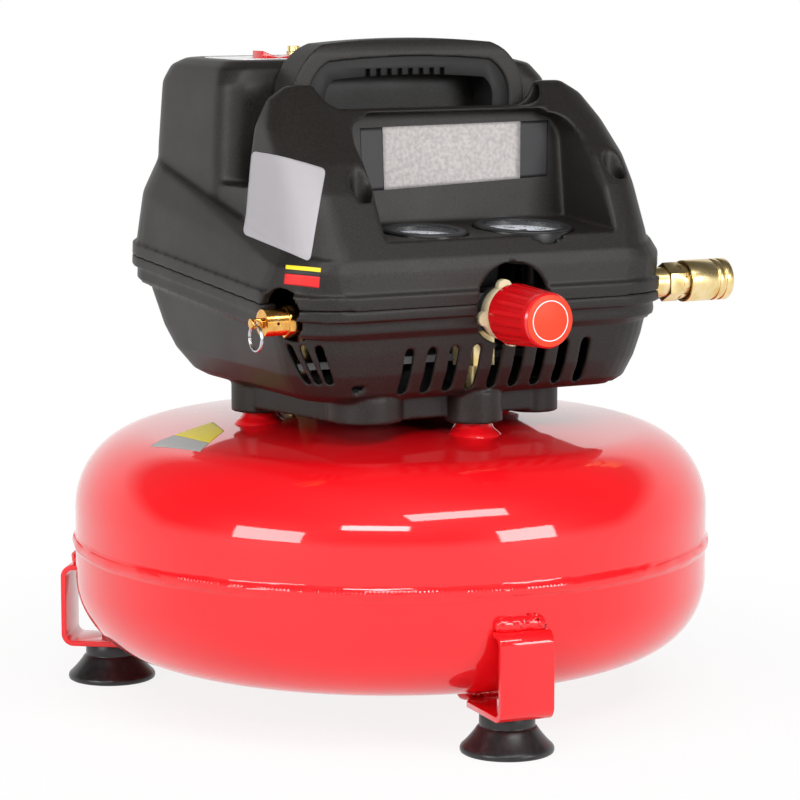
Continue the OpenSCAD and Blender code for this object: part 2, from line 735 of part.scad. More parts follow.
// The arch between two depths below the handle's outline, open at its feet
module hollow_arch(outer, inner) {
  difference() {
    arch(outer);
    arch(inner);
    translate([inner - handle_half, channel_z - past])
      square([2 * (handle_half - inner), handle_corner]);
  }
}
module handle_cover() {
  color([0.2, 0.19, 0.19]) intersection() {
    extruded_arch(handle_depth) hollow_arch(0, cover_t);
    handle_section(handle_depth, handle_round);
  }
}
module handle_insert() {
  notch = [notch_pitch * 0.45, 5, 3.5];
  insert_depth = handle_depth - 3;
  color([0.12, 0.12, 0.12]) difference() {
    extruded_arch(insert_depth) hollow_arch(cover_t, cover_t + insert_t);
    for (i = [0:notches - 1])
      translate([handle_x - 2.6 + (i - (notches - 1) / 2) * notch_pitch - notch[0] / 2,
          handle_y - insert_depth / 2 - past, handle_under - past])
        cube([notch[0], notch[1], notch[2] + past]);
  }
}
housing_screw_r = 2;
module housing_screws() {
  color(steel_grey) {
    for (p = pocket_places) translate([p[0], p[1], 0]) {
      translate([0, 0, pocket_floor]) difference() {
        cylinder(r = 4, h = 2.6);
        translate([-2.6, -0.5, 1.4]) cube([5.2, 1, 2]);
        translate([-0.5, -2.6, 1.4]) cube([1, 5.2, 2]);
      }
      translate([0, 0, pocket_floor - 12]) cylinder(r = housing_screw_r, h = 12 + past);
    }
  }
}
inlet_place = [-62, 262];
inlet_wall = 105;
module cord_inlet() {
  color([0.1, 0.1, 0.1]) translate([inlet_place[0], 0, inlet_place[1]]) difference() {
    union() {
      along_y(inlet_wall, inlet_wall + 3, inlet_r + 6.5);
      along_y(inlet_wall - shell_wall - 5, inlet_wall + past, inlet_r + 4 - running);
      along_y(inlet_wall - shell_wall - 6, inlet_wall - shell_wall - 2.5, inlet_r + 5.5);
      along_y(inlet_wall + 2, inlet_wall + 9, inlet_r + 2.8);
    }
    along_y(inlet_wall - 20, inlet_wall + 20, inlet_r);
  }
}

// ---- Switch on the hood ---------------------------------------------------
plate_t = 1.4;
plate_box = [-86, -24, 10, 60];
rocker_place = [-60, 24];
unloader_place = [-38, 42];
unloader_r = 4.5;
rocker_tilt = 7;
rocker_pivot_z = hood_top - shell_wall - 2.2;
switch_top = hood_top - 9;
module switch_plate() {
  color([0.85, 0.85, 0.84]) difference() {
    rounded_block(plate_box[0] + 0.3, plate_box[1] - 0.3, plate_box[2] + 0.3, plate_box[3] - 0.3,
      hood_top - plate_t, hood_top + 0.2, 4.7);
    translate([rocker_place[0] - rocker_len / 2 - 0.6, rocker_place[1] - rocker_w / 2 - 0.6, hood_top - 10])
      cube([rocker_len + 1.2, rocker_w + 1.2, 20]);
    translate([unloader_place[0], unloader_place[1], hood_top - 10]) cylinder(r = unloader_r + 0.5, h = 20);
  }
}
module switch_rocker() {
  color([0.85, 0.1, 0.08])
    translate([rocker_place[0], rocker_place[1], rocker_pivot_z]) rotate([0, rocker_tilt, 0])
      difference() {
        rotate([90, 0, 0]) linear_extrude(rocker_w - 0.6, center = true) polygon([
          [-rocker_len / 2 + 1, 8.3], [0, 5.7], [rocker_len / 2 - 1, 8.3],
          [rocker_len / 2 - 1.6, -2], [4, -4.5], [-4, -4.5], [-rocker_len / 2 + 1.6, -2]]);
        along_y(-rocker_w, rocker_w, 1.5 + running);
      }
}
module pressure_switch() {
  body = [48, 62, 26];
  step = [12, 20, 14];
  color([0.13, 0.13, 0.14]) {
    difference() {
      union() {
        translate([-88, 4, switch_top - body[2]]) cube(body);
        translate([unloader_place[0] - 5, unloader_place[1] - 10, switch_top - step[2]]) cube(step);
        for (p = [[-70, 12], [-70, 58], [-44, 58], [-44, 12]])
          translate([p[0], p[1], switch_top - past])
            cylinder(r = 3, h = hood_top - shell_wall - switch_top + past);
      }
      translate([rocker_place[0] - rocker_len / 2 - 0.6, rocker_place[1] - rocker_w / 2 - 1, switch_top - 5])
        cube([rocker_len + 1.2, rocker_w + 2, 20]);
      translate([unloader_place[0], unloader_place[1], switch_top - 6]) cylinder(r = 3, h = 20);
    }
    for (s = [-1, 1])
      translate([rocker_place[0] - 3, rocker_place[1] + s * (rocker_w / 2 + 1.5) - 1, switch_top - past])
        cube([6, 2, rocker_pivot_z - switch_top + past + 1.8]);
    translate([rocker_place[0], rocker_place[1], rocker_pivot_z])
      along_y(-rocker_w / 2 - 1, rocker_w / 2 + 1, 1.5);
  }
}
module unloader_fitting() {
  color(brass_yellow) translate([unloader_place[0], unloader_place[1], 0]) {
    translate([0, 0, switch_top - 6]) cylinder(r = 3, h = 14);
    translate([0, 0, switch_top]) cylinder(r = unloader_r, h = hood_top - switch_top + 3, $fn = 6);
    translate([0, 0, hood_top + 2.9]) cylinder(r = 3.4, h = 3);
  }
}

// ---- Manifold and regulator -------------------------------------------------
manifold_left = -76;
manifold_right = 92.5;
module at_manifold() {
  translate([0, -manifold_y, manifold_z]) children();
}
module at_coupler() {
  translate([0, -manifold_y, coupler_z]) children();
}
module manifold_body() {
  half = manifold_t / 2;
  color([0.75, 0.76, 0.78]) difference() {
    union() {
      at_manifold() translate([manifold_left, -half, -half])
        cube([manifold_right - manifold_left, manifold_t, manifold_t]);
      at_manifold() translate([regulator_x, 0, 0]) along_y(-half - 6, past - half, bonnet_r - 2);
      translate([front_post[0], front_post[1], manifold_z - half]) cylinder(r = 12, h = manifold_t);
      at_coupler() translate([manifold_right - 24, -half, manifold_z - coupler_z - half])
        cube([24, manifold_t, coupler_z - manifold_z + half + 11]);
    }
    at_manifold() along_x(manifold_left - past, manifold_left + 22, relief_thread_r);
    at_coupler() along_x(manifold_right - 20, manifold_right + past, coupler_thread_r);
    at_coupler() translate([manifold_right - 16, 0, manifold_z - coupler_z]) cylinder(r = 3, h = 9);
    at_manifold() along_x(manifold_left + 20, manifold_right - 20, 3.5);
    at_manifold() translate([regulator_x, 0, 0]) {
      along_y(-half - 20, 1.1 - half, 8);
      along_y(-half, 0, 3);
    }
    for (g = [large_gauge, small_gauge]) translate([g[0], -manifold_y, manifold_z])
      cylinder(r = gauge_stem_r, h = 30);
    translate([front_post[0], front_post[1], manifold_z - half - past]) cylinder(r = 3.5, h = half + past);
  }
}
bonnet_back = manifold_y + manifold_t / 2 + 6;
bonnet_front = bonnet_back + 16;
module at_regulator() {
  translate([regulator_x, 0, manifold_z]) children();
}
module regulator_bonnet() {
  color([0.86, 0.82, 0.7]) at_regulator() difference() {
    union() {
      along_y(-bonnet_back - 6, -bonnet_back, bonnet_r - 1);
      for (a = [80:90:350]) rotate([0, a, 0]) translate([bonnet_r - 1.5, 0, 0])
        along_y(-bonnet_back - 5, -bonnet_back - 1, 4);
      along_y(-bonnet_front, -bonnet_back - past, bonnet_r - 4);
    }
    along_y(-bonnet_front + 3, -bonnet_back + past, 9);
    along_y(-bonnet_front - past, -bonnet_back, stem_r + running);
  }
}
stem_r = 4;
module regulator_spring() {
  color(steel_grey) at_regulator() rotate([90, 0, 0])
    translate([0, 0, manifold_y + manifold_t / 2 - 1]) coil_spring(6, 0.9, 17.4, 5);
}
module regulator_stem() {
  color(steel_grey) at_regulator() {
    along_y(-bonnet_front - 16, -bonnet_front + 6, stem_r);
    along_y(-bonnet_front + 3.5, -bonnet_front + 5.5, 7);
  }
}
groove_r = 2.1;
knob_back = bonnet_front - 7;
knob_front = knob_back + knob_len;
module regulator_knob() {
  color([0.86, 0.07, 0.06]) at_regulator() rotate([90, 0, 0]) difference() {
    translate([0, 0, knob_back]) rotate_extrude($fn = 96) polygon([
      [0, 0], [knob_base_r - 2.4, 0], [knob_base_r - 0.9, 0.7], [knob_base_r - 0.3, 2],
      [knob_face_r, knob_len - 1.6], [knob_face_r - 0.9, knob_len - 0.4],
      [knob_face_r - 1.8, knob_len], [0, knob_len]]);
    translate([0, 0, knob_back - past]) cylinder(r = bonnet_r - 4 + 0.5, h = bonnet_front - knob_back + past + 0.5);
    translate([0, 0, knob_back]) cylinder(r = stem_r, h = bonnet_front + 16 - knob_back);
    for (i = [0:knob_grooves - 1]) rotate([0, 0, i * 360 / knob_grooves])
      translate([knob_base_r + groove_r - 0.9, 0, knob_back - past])
        rotate([0, -atan((knob_base_r - knob_face_r) / knob_len), 0]) cylinder(r = groove_r, h = knob_len - 4);
  }
}

// ---- Safety valve on the manifold's left end ----------------------------------
relief_thread_r = 6;
relief_root = manifold_left;
relief_tip = relief_root - 47.5;
relief_hex_x = relief_root - 35;
relief_seat_x = relief_root - 15.5;
relief_end_t = 3;
module safety_valve_body() {
  color(brass_yellow) at_manifold() difference() {
    union() {
      along_x(relief_root - 18, relief_root + 16, relief_thread_r);
      along_x(relief_hex_x + 7, relief_root - 17, relief_r - 0.6);
      hex_x(relief_hex_x, relief_hex_x + 7.5, relief_hex);
      along_x(relief_tip, relief_hex_x + past, relief_r);
    }
    along_x(relief_tip + relief_end_t, relief_root + 17, 4);
    along_x(relief_tip - past, relief_root, pin_r + running);
    translate([relief_root - 22.5, 0, 0]) along_y(-20, 20, 2.3);
    translate([relief_tip + 6, 0, 0]) along_y(-20, 20, 0.8);
  }
}
pin_r = 1.8;
ring_reach = 3.4;
module safety_valve_spring() {
  color(steel_grey) at_manifold() translate([relief_tip + relief_end_t + 0.1, 0, 0]) rotate([0, 90, 0])
    coil_spring(2.9, 0.5, relief_seat_x - relief_tip - relief_end_t - 0.2, 9);
}
module safety_valve_pin() {
  color(brass_yellow) at_manifold() {
    difference() {
      union() {
        along_x(relief_tip - 5, relief_root - 11, pin_r);
        along_x(relief_tip - 6.5, relief_tip - 0.5, 2.6);
        along_x(relief_seat_x, relief_seat_x + 2.5, 3.6);
      }
      translate([relief_tip - ring_reach, 0, 0]) along_y(-5, 5, 1.5);
      for (s = [-1, 1]) translate([relief_tip - 5.4, s * 3.3 - 2, -5]) cube([4, 4, 10]);
    }
  }
}
module safety_pull_ring() {
  color(steel_grey) at_manifold() translate([relief_tip - ring_reach, 0, -0.75 - pull_ring_r])
    rotate([0, 90, 0]) rotate_extrude() translate([pull_ring_r, 0]) circle(r = 0.6, $fn = 24);
}

// ---- Quick coupler on the manifold's right end ----------------------------------
coupler_thread_r = 6.5;
coupler_root = manifold_right;
hex_x0 = band_x - 0.5;
hex_x1 = hex_x0 + 9.5;
sleeve_gap = 0.3;
sleeve_x0 = hex_x1 + sleeve_travel + sleeve_gap;
collar_x1 = hex_x1 + 3;
sleeve_shoulder_x = sleeve_x0 + sleeve_len - 14;
mouth_x = sleeve_x0 + sleeve_len;
tube_wall_r = 8.6;
module coupler_body() {
  color(brass_yellow) at_coupler() difference() {
    union() {
      along_x(coupler_root - 16, hex_x0 + past, coupler_thread_r);
      along_x(coupler_root + 2, hex_x0 + past, 8.2);
      hex_x(hex_x0, hex_x1, coupler_hex);
      along_x(hex_x1 - past, collar_x1, 9.6);
      along_x(hex_x1 + 2, mouth_x, tube_wall_r);
    }
    along_x(mouth_x - 23, mouth_x + past, socket_r);
    along_x(coupler_root - 17, mouth_x, 3);
    for (a = [0:60:300]) rotate([a, 0, 0]) translate([mouth_x - 9, 0, 0])
      cylinder(r = 1.7, h = 12);
  }
}
module coupler_balls() {
  color(steel_grey) at_coupler() for (a = [0:60:300])
    rotate([a, 0, 0]) translate([mouth_x - 9, 0, socket_r + 1.65]) sphere(r = 1.6, $fn = 24);
}
module coupler_sleeve() {
  inner = tube_wall_r + running;
  color(brass_yellow) at_coupler() difference() {
    along_x(sleeve_x0, sleeve_x0 + sleeve_len, sleeve_r);
    along_x(sleeve_x0 - past, sleeve_x0 + sleeve_len + past, inner);
    along_x(sleeve_x0 - past, sleeve_shoulder_x, inner + 1.6);
    along_x(sleeve_shoulder_x + 2, mouth_x + past, inner + 1);
    for (x = [5, 9.5]) translate([sleeve_x0 + sleeve_len - x, 0, 0]) difference() {
      along_x(-0.7, 0.7, sleeve_r + 2);
      along_x(-2, 2, sleeve_r - 0.7);
    }
  }
}
module coupler_spring() {
  color(steel_grey) at_coupler() translate([collar_x1 + 0.15, 0, 0]) rotate([0, 90, 0])
    coil_spring(tube_wall_r + 0.85, 0.5, sleeve_shoulder_x - collar_x1 - 0.3, 5);
}

// ---- Gauges ------------------------------------------------------------------------
large_gauge = [36, large_gauge_r];
small_gauge = [-24, small_gauge_r];
gauge_stem_r = 4.5;
gauge_y = -82;
face_drop = 3.2;
case_h = 16;
// A frame on the ledge, tilted towards the front, with its origin in the ledge's plane
module gauge_frame(g) {
  translate([g[0], gauge_y, ledge_front_z + (band_front + gauge_y) * tan(band_tilt)])
    rotate([band_tilt, 0, 0]) children();
}
module gauge_case(g) {
  color([0.05, 0.05, 0.05]) {
    gauge_frame(g) difference() {
      translate([0, 0, -case_h]) cylinder(r = g[1], h = case_h + 0.8);
      translate([0, 0, -face_drop]) cylinder(r = g[1] - 2.2, h = 10);
      translate([0, 0, -face_drop - 3]) cylinder(r = pivot_r + running, h = 10);
    }
    translate([g[0], -manifold_y, manifold_z + manifold_t / 2 - 8])
      cylinder(r = gauge_stem_r, h = ledge_front_z - case_h - manifold_z - manifold_t / 2 + 13);
  }
}
pivot_r = 1;
module gauge_dial(g) {
  color([0.85, 0.88, 0.93]) gauge_frame(g) ring(g[1] - 2.3, pivot_r + 0.4, -face_drop, -face_drop + 0.6);
}
module gauge_needle(g) {
  color([0.1, 0.1, 0.1]) gauge_frame(g) rotate([0, 0, 135]) {
    translate([0, 0, -face_drop - 2.5]) cylinder(r = pivot_r, h = 4);
    translate([0, 0, -face_drop + 0.9]) cylinder(r = 2.2, h = 0.8);
    translate([-0.7, -5, -face_drop + 0.9]) cube([1.4, g[1] * 0.66 + 5, 0.5]);
  }
}
module gauge_lens(g) {
  color([0.9, 0.95, 1, 0.35]) gauge_frame(g)
    translate([0, 0, -0.8]) cylinder(r = g[1] - 2.25, h = 1.2);
}
module large_gauge_case() gauge_case(large_gauge);
module large_gauge_dial() gauge_dial(large_gauge);
module large_gauge_needle() gauge_needle(large_gauge);
module large_gauge_lens() gauge_lens(large_gauge);
module small_gauge_case() gauge_case(small_gauge);
module small_gauge_dial() gauge_dial(small_gauge);
module small_gauge_needle() gauge_needle(small_gauge);
module small_gauge_lens() gauge_lens(small_gauge);

// ---- Motor ------------------------------------------------------------------------
module at_shaft() {
  translate([0, shaft_y, shaft_z]) children();
}
case_half = 17;
case_wall = 5;
case_x0 = cylinder_x - case_half;
case_x1 = cylinder_x + case_half;
bearing_r = 13;
bearing_t = 8;
stator_x0 = case_x1 + 12;
stator_x1 = stator_x0 + stator_len;
bell_x = stator_x1 + 10;
fan_x0 = bell_x + 7;
shaft_end = fan_x0 + 12;
air_gap = 0.4;
crank_case_r = 38;
module motor_stator() {
  color([0.45, 0.45, 0.47]) at_shaft() difference() {
    union() {
      along_x(stator_x0, stator_x1, stator_r);
      along_x(stator_x0 - 5, stator_x0 + past, stator_r - 8);
      along_x(stator_x1 - past, stator_x1 + 5, stator_r - 8);
      for (a = [45:90:315]) rotate([a, 0, 0]) translate([0, 0, stator_r - 3.5])
        along_x(case_x1 - 4, bell_x + 3, 2.5);
      for (a = [45:90:315]) rotate([a, 0, 0]) translate([0, 0, stator_r - 3.5])
        along_x(bell_x + 1, bell_x + 4, 4.5);
    }
    along_x(stator_x0 - 20, stator_x1 + 20, rotor_r + air_gap);
  }
}
module motor_rotor() {
  color([0.6, 0.6, 0.6]) at_shaft() difference() {
    union() {
      along_x(stator_x0, stator_x1, rotor_r);
      along_x(stator_x0 - 4, stator_x1 + 4, rotor_r - 4);
    }
    along_x(stator_x0 - 9, stator_x1 + 9, shaft_r);
  }
}
module motor_shaft() {
  color(steel_grey) at_shaft() along_x(crank_x - 5, shaft_end, shaft_r);
}
module shaft_bearings() {
  color(steel_grey) at_shaft() for (x = [case_x1 - case_wall - 3, bell_x - 4]) difference() {
    along_x(x, x + bearing_t, bearing_r);
    along_x(x - past, x + bearing_t + past, shaft_r + running);
    for (s = [[x - past, x + 0.8], [x + bearing_t - 0.8, x + bearing_t + past]]) difference() {
      along_x(s[0], s[1], bearing_r - 2);
      along_x(s[0] - past, s[1] + past, shaft_r + 2);
    }
  }
}
module cooling_fan() {
  color([0.2, 0.2, 0.22]) at_shaft() difference() {
    union() {
      along_x(fan_x0, fan_x0 + 10, 11);
      along_x(fan_x0, fan_x0 + 2, fan_r - 8);
      for (i = [0:fan_blades - 1]) rotate([i * 360 / fan_blades, 0, 0])
        translate([fan_x0, -1, 9]) rotate([0, 0, 16]) cube([11, 2, fan_r - 9.5]);
    }
    along_x(fan_x0 - past, fan_x0 + 20, shaft_r);
  }
}

// ---- Pump -------------------------------------------------------------------------
case_top = shaft_z + crank_case_r - 4;
module crankcase() {
  color([0.66, 0.67, 0.69]) difference() {
    union() {
      at_shaft() along_x(case_x0, case_x1, crank_case_r);
      translate([case_x0, shaft_y - 24, deck_z]) cube([2 * case_half, 48, 30]);
      translate([case_x0, shaft_y - 28, shaft_z]) cube([2 * case_half, 56, case_top - shaft_z]);
      at_shaft() along_x(bell_x - 4, bell_x + 4, bearing_r + 5);
      translate([bell_x - 4, shaft_y - 8, deck_z]) cube([8, 16, shaft_z - deck_z - bearing_r]);
      for (a = [45:90:315]) at_shaft() rotate([a, 0, 0])
        translate([bell_x - 4, -5, bearing_r]) cube([5, 10, stator_r - bearing_r]);
      translate([-86, -2, deck_z]) cube([172, 69, deck_t]);
    }
    at_shaft() along_x(case_x0 - past, case_x1 - case_wall, crank_case_r - case_wall);
    at_shaft() along_x(case_x0 - past, case_x1 + past, bearing_r);
    at_shaft() along_x(bell_x - 10, bell_x + 10, bearing_r);
    translate([cylinder_x, shaft_y, shaft_z]) cylinder(r = cylinder_r + 2, h = 60);
    for (p = pump_posts) translate([p[0], p[1], deck_z - past]) cylinder(r = 3.2, h = 10);
    translate([check_place[0], check_place[1], deck_z - past]) cylinder(r = 12, h = 10);
    at_shaft() for (a = [45:90:315]) rotate([a, 0, 0]) translate([0, 0, stator_r - 3.5])
      along_x(case_x1 - 12, bell_x + 20, 2.6);
  }
}
crank_r = stroke / 2;
pin_r_crank = 5;
crank_x = case_x1 - bearing_t - 4;
module eccentric() {
  color([0.5, 0.5, 0.52]) at_shaft() difference() {
    union() {
      along_x(crank_x - 9, crank_x, 12);
      translate([0, 0, crank_r]) along_x(crank_x - 11, crank_x - 8, pin_r_crank);
      intersection() {
        along_x(crank_x - 7, crank_x, 24);
        translate([crank_x - 7, -30, -40]) cube([7, 60, 34]);
      }
    }
    along_x(crank_x - 5, crank_x + past, shaft_r);
  }
}
rod_x0 = case_x0 + 3;
rod_t = crank_x - 11.4 - rod_x0;
piston_z = shaft_z + 54;
piston_t = 5;
module connecting_rod() {
  color([0.7, 0.71, 0.73]) {
    difference() {
      union() {
        at_shaft() translate([0, 0, crank_r]) along_x(rod_x0, rod_x0 + rod_t, 9);
        translate([rod_x0, shaft_y - 4.5, shaft_z + crank_r + 5])
          cube([rod_t, 9, piston_z - shaft_z - crank_r - 5]);
      }
      at_shaft() translate([0, 0, crank_r]) along_x(rod_x0 - past, rod_x0 + rod_t + past, pin_r_crank + running);
    }
    translate([cylinder_x, shaft_y, piston_z - 2]) cylinder(r = cylinder_r - 3, h = 2);
    translate([cylinder_x, shaft_y, piston_z]) cylinder(r = cylinder_r - 1.2, h = piston_t);
    translate([rod_x0, shaft_y - 4.5, piston_z - 9]) cube([cylinder_x - rod_x0 + 5, 9, 8]);
  }
}
module piston_seal() {
  color([0.25, 0.22, 0.2]) translate([cylinder_x, shaft_y, 0])
    ring(cylinder_r - running, cylinder_r - 1.2, piston_z + 0.5, piston_z + 4);
}
cylinder_z0 = case_top + 0.5 - 12;
cylinder_z1 = piston_z + piston_t + 1;
flange_r = cylinder_r + 7;
module cylinder_sleeve_outline(z0, z1, r) {
  translate([cylinder_x, shaft_y, z0]) cylinder(r = r, h = z1 - z0);
}
module cylinder_piece() {
  color([0.75, 0.76, 0.78]) difference() {
    union() {
      cylinder_sleeve_outline(cylinder_z0, cylinder_z1, cylinder_r + 1.9);
      for (z = [case_top + 5:5:cylinder_z1 - 4]) cylinder_sleeve_outline(z, z + 2.4, flange_r);
      cylinder_sleeve_outline(cylinder_z1 - 3, cylinder_z1, flange_r);
    }
    cylinder_sleeve_outline(cylinder_z0 - past, cylinder_z1 + past, cylinder_r);
  }
}
module cylinder_head() {
  half = flange_r - 2;
  z0 = cylinder_z1;
  color([0.7, 0.71, 0.73]) difference() {
    union() {
      rounded_block(cylinder_x - half, cylinder_x + half, shaft_y - half, shaft_y + half, z0, z0 + 18, 6);
      for (i = [-2:2]) translate([cylinder_x - half + 2, shaft_y + i * 10 - 1.2, z0 + 17])
        cube([2 * half - 4, 2.4, 6]);
    }
    translate([cylinder_x, shaft_y, z0 + 6]) cylinder(r = 15, h = 8);
    translate([0, tube_y, head_port_z]) along_x(cylinder_x - half - past, cylinder_x - 10, tube_r + running);
    translate([0, shaft_y, head_port_z]) along_x(cylinder_x + 10, cylinder_x + half + past, 4);
    for (sx = [-1, 1])
      for (sy = [-1, 1])
        translate([cylinder_x + sx * (half - 6), shaft_y + sy * (half - 6), z0 - past]) cylinder(r = 2.5, h = 30);
  }
}
head_port_z = cylinder_z1 + 10;
tube_y = check_place[1];
module intake_filter() {
  x0 = cylinder_x + flange_r + 1;
  color([0.2, 0.2, 0.22]) translate([0, shaft_y, head_port_z]) {
    along_x(x0 - 8, x0 + 3, 4);
    along_x(x0, x0 + 20, 13);
  }
}
// Discharge tube: down from the head's port to the check valve
bend_r = 10;
module discharge_tube() {
  x_port = cylinder_x - flange_r + 2;
  x_down = check_place[0];
  color([0.85, 0.5, 0.3]) translate([0, tube_y, 0]) difference() {
    union() {
      translate([0, 0, head_port_z]) along_x(x_down + bend_r, x_port + 4, tube_r);
      translate([x_down + bend_r, 0, head_port_z - bend_r]) rotate([90, 0, 0])
        rotate([0, 0, 90]) rotate_extrude(angle = 90) translate([bend_r, 0]) circle(r = tube_r);
      translate([x_down, 0, check_top - 8]) cylinder(r = tube_r, h = head_port_z - bend_r - check_top + 8);
    }
  }
}

tank_upper_shell();
tank_lower_shell();
weld_beads();
foot_bracket_front();
foot_bracket_left();
foot_bracket_right();
rubber_foot_front();
rubber_foot_left();
rubber_foot_right();
foot_screws();
shroud_posts();
isolator_mounts();
outlet_riser();
drain_valve_body();
drain_screw();
check_valve();
upper_housing();
lower_housing();
handle_cover();
handle_insert();
housing_screws();
cord_inlet();
switch_plate();
switch_rocker();
pressure_switch();
unloader_fitting();
manifold_body();
regulator_bonnet();
regulator_spring();
regulator_stem();
regulator_knob();
safety_valve_body();
safety_valve_spring();
safety_valve_pin();
safety_pull_ring();
coupler_body();
coupler_sleeve();
coupler_spring();
coupler_balls();
large_gauge_case();
large_gauge_dial();
large_gauge_needle();
large_gauge_lens();
small_gauge_case();
small_gauge_dial();
small_gauge_needle();
small_gauge_lens();
motor_stator();
motor_rotor();
motor_shaft();
shaft_bearings();
cooling_fan();
crankcase();
eccentric();
connecting_rod();
piston_seal();
cylinder_piece();  // cylinder
cylinder_head();
intake_filter();
discharge_tube();
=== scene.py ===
# %% [markdown]
# # A pancake air compressor
#
# The machine is a flat round tank on three rubber feet. A moulded shroud hides the pump and
# carries the handle, two gauges, the regulator knob, a safety valve and a quick coupler.
# A frame of solids comes first: it fixes every size and every moving body. Each visible
# surface is then either a finer piece that stands for one of those solids, or the solid itself
# with a proper finish.

# %% Load the frame
import bpy
import bmesh
import math
from mathutils import Matrix, Vector, bvhtree, noise


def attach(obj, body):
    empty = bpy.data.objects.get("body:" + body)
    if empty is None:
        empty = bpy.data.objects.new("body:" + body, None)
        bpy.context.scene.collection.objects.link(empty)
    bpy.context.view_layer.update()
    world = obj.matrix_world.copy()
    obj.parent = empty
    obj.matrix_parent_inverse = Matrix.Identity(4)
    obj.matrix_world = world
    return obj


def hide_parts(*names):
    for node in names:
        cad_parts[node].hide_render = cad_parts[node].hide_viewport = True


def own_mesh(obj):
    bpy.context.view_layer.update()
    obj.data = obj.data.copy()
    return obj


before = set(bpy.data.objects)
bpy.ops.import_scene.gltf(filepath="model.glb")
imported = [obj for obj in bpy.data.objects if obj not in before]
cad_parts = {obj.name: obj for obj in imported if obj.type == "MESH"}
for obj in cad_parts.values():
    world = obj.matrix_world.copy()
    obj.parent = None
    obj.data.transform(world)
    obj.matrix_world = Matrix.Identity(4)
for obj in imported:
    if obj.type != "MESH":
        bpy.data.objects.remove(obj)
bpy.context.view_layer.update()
MM = 0.001
BODY = "compressor"

# %% [markdown]
# ## Small helpers for meshes
#
# A piece is often a copy of a solid with its edges softened, as moulding, turning and pressing
# all leave a small radius. The solid arrives as loose triangles, so its doubles are merged and
# its flat areas joined before a bevel can follow the edges.

# %% Mesh helpers
def add_object(name, mesh):
    obj = bpy.data.objects.new(name, mesh)
    bpy.context.scene.collection.objects.link(obj)
    return obj


def from_bmesh(name, bm, smooth_angle=None):
    mesh = bpy.data.meshes.new(name)
    bm.to_mesh(mesh)
    bm.free()
    for face in mesh.polygons:
        face.use_smooth = True
    if smooth_angle is not None:
        mesh.set_sharp_from_angle(angle=math.radians(smooth_angle))
    return add_object(name, mesh)


def merged(node, flat_angle=0.6):
    """A copy of a solid's mesh with its doubles merged and its flat areas joined."""
    bm = bmesh.new()
    bm.from_mesh(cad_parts[node].data)
    bmesh.ops.remove_doubles(bm, verts=bm.verts, dist=1e-6)
    bmesh.ops.dissolve_limit(bm, angle_limit=math.radians(flat_angle),
                             verts=bm.verts, edges=bm.edges)
    return bm


def settle(obj):
    """The object with its modifiers turned into plain mesh."""
    made = bpy.data.meshes.new_from_object(
        obj.evaluated_get(bpy.context.evaluated_depsgraph_get()))
    obj.modifiers.clear()
    obj.data = made
    return obj


def smooth_faces(obj):
    for face in obj.data.polygons:
        face.use_smooth = True


def dress(obj, material):
    obj.data.materials.clear()
    obj.data.materials.append(material)
    return obj


def softened(node, width, body=BODY, material=None, angle=32, segments=2):
    """A copy of a solid with a small radius along its sharp edges, in place of the solid."""
    obj = from_bmesh(node + "_made", merged(node))
    bevel = obj.modifiers.new("edge radius", "BEVEL")
    bevel.width = width * MM
    bevel.segments = segments
    bevel.limit_method = "ANGLE"
    bevel.angle_limit = math.radians(angle)
    bevel.harden_normals = False
    settle(obj)
    smooth_faces(obj)
    obj.data.set_sharp_from_angle(angle=math.radians(40))
    dress(obj, material)
    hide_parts(node)
    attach(obj, body)


def turned(name, profile, steps, place=None, smooth_angle=35):
    """A closed profile of (radius, height) points turned about Z, then put in its place."""
    bm = bmesh.new()
    rings = []
    for r, z in profile:
        if r < 1e-7:
            rings.append([bm.verts.new((0, 0, z))])
            continue
        rings.append([bm.verts.new((r * math.cos(2 * math.pi * i / steps),
                                    r * math.sin(2 * math.pi * i / steps), z))
                      for i in range(steps)])
    for a, b in zip(rings, rings[1:] + rings[:1]):
        if len(a) == 1 and len(b) == 1:
            continue
        for i in range(steps):
            j = (i + 1) % steps
            if len(a) == 1:
                bm.faces.new((a[0], b[j], b[i]))
            elif len(b) == 1:
                bm.faces.new((a[i], a[j], b[0]))
            else:
                bm.faces.new((a[i], a[j], b[j], b[i]))
    if place is not None:
        bm.transform(place)
    bmesh.ops.recalc_face_normals(bm, faces=bm.faces)
    return from_bmesh(name, bm, smooth_angle)


def swept(name, path, radius, sides=10):
    """A round wire along an open path, with a flat end cap at both ends."""
    bm = bmesh.new()
    rings = []
    for k, point in enumerate(path):
        ahead = path[min(k + 1, len(path) - 1)] - path[max(k - 1, 0)]  # chord of the neighbours
        turn_to = ahead.to_track_quat("Z", "X").to_matrix()
        rings.append([bm.verts.new(point + turn_to @ Vector((
            radius * math.cos(2 * math.pi * i / sides),
            radius * math.sin(2 * math.pi * i / sides), 0))) for i in range(sides)])
    for a, b in zip(rings, rings[1:]):
        for i in range(sides):
            j = (i + 1) % sides
            bm.faces.new((a[i], a[j], b[j], b[i]))
    bm.faces.new(rings[0][::-1])
    bm.faces.new(rings[-1])
    bmesh.ops.recalc_face_normals(bm, faces=bm.faces)
    return from_bmesh(name, bm, 60)


print("mesh helpers ready")

# %% [markdown]
# ## Finishes
#
# Each finish is one Principled shader with its own small-scale detail: orange peel under the
# tank's clear coat, the spark-eroded grain of the moulded shroud, turning marks on brass. The
# patterns read object coordinates in metres, so that they have a true size and stay put.

# %% Helpers for finishes
def wire(tree, *joins):
    """Links in a node tree; each join is (node, its output, node, its input)."""
    for source, output, target, socket in joins:
        tree.links.new(source.outputs[output], target.inputs[socket])


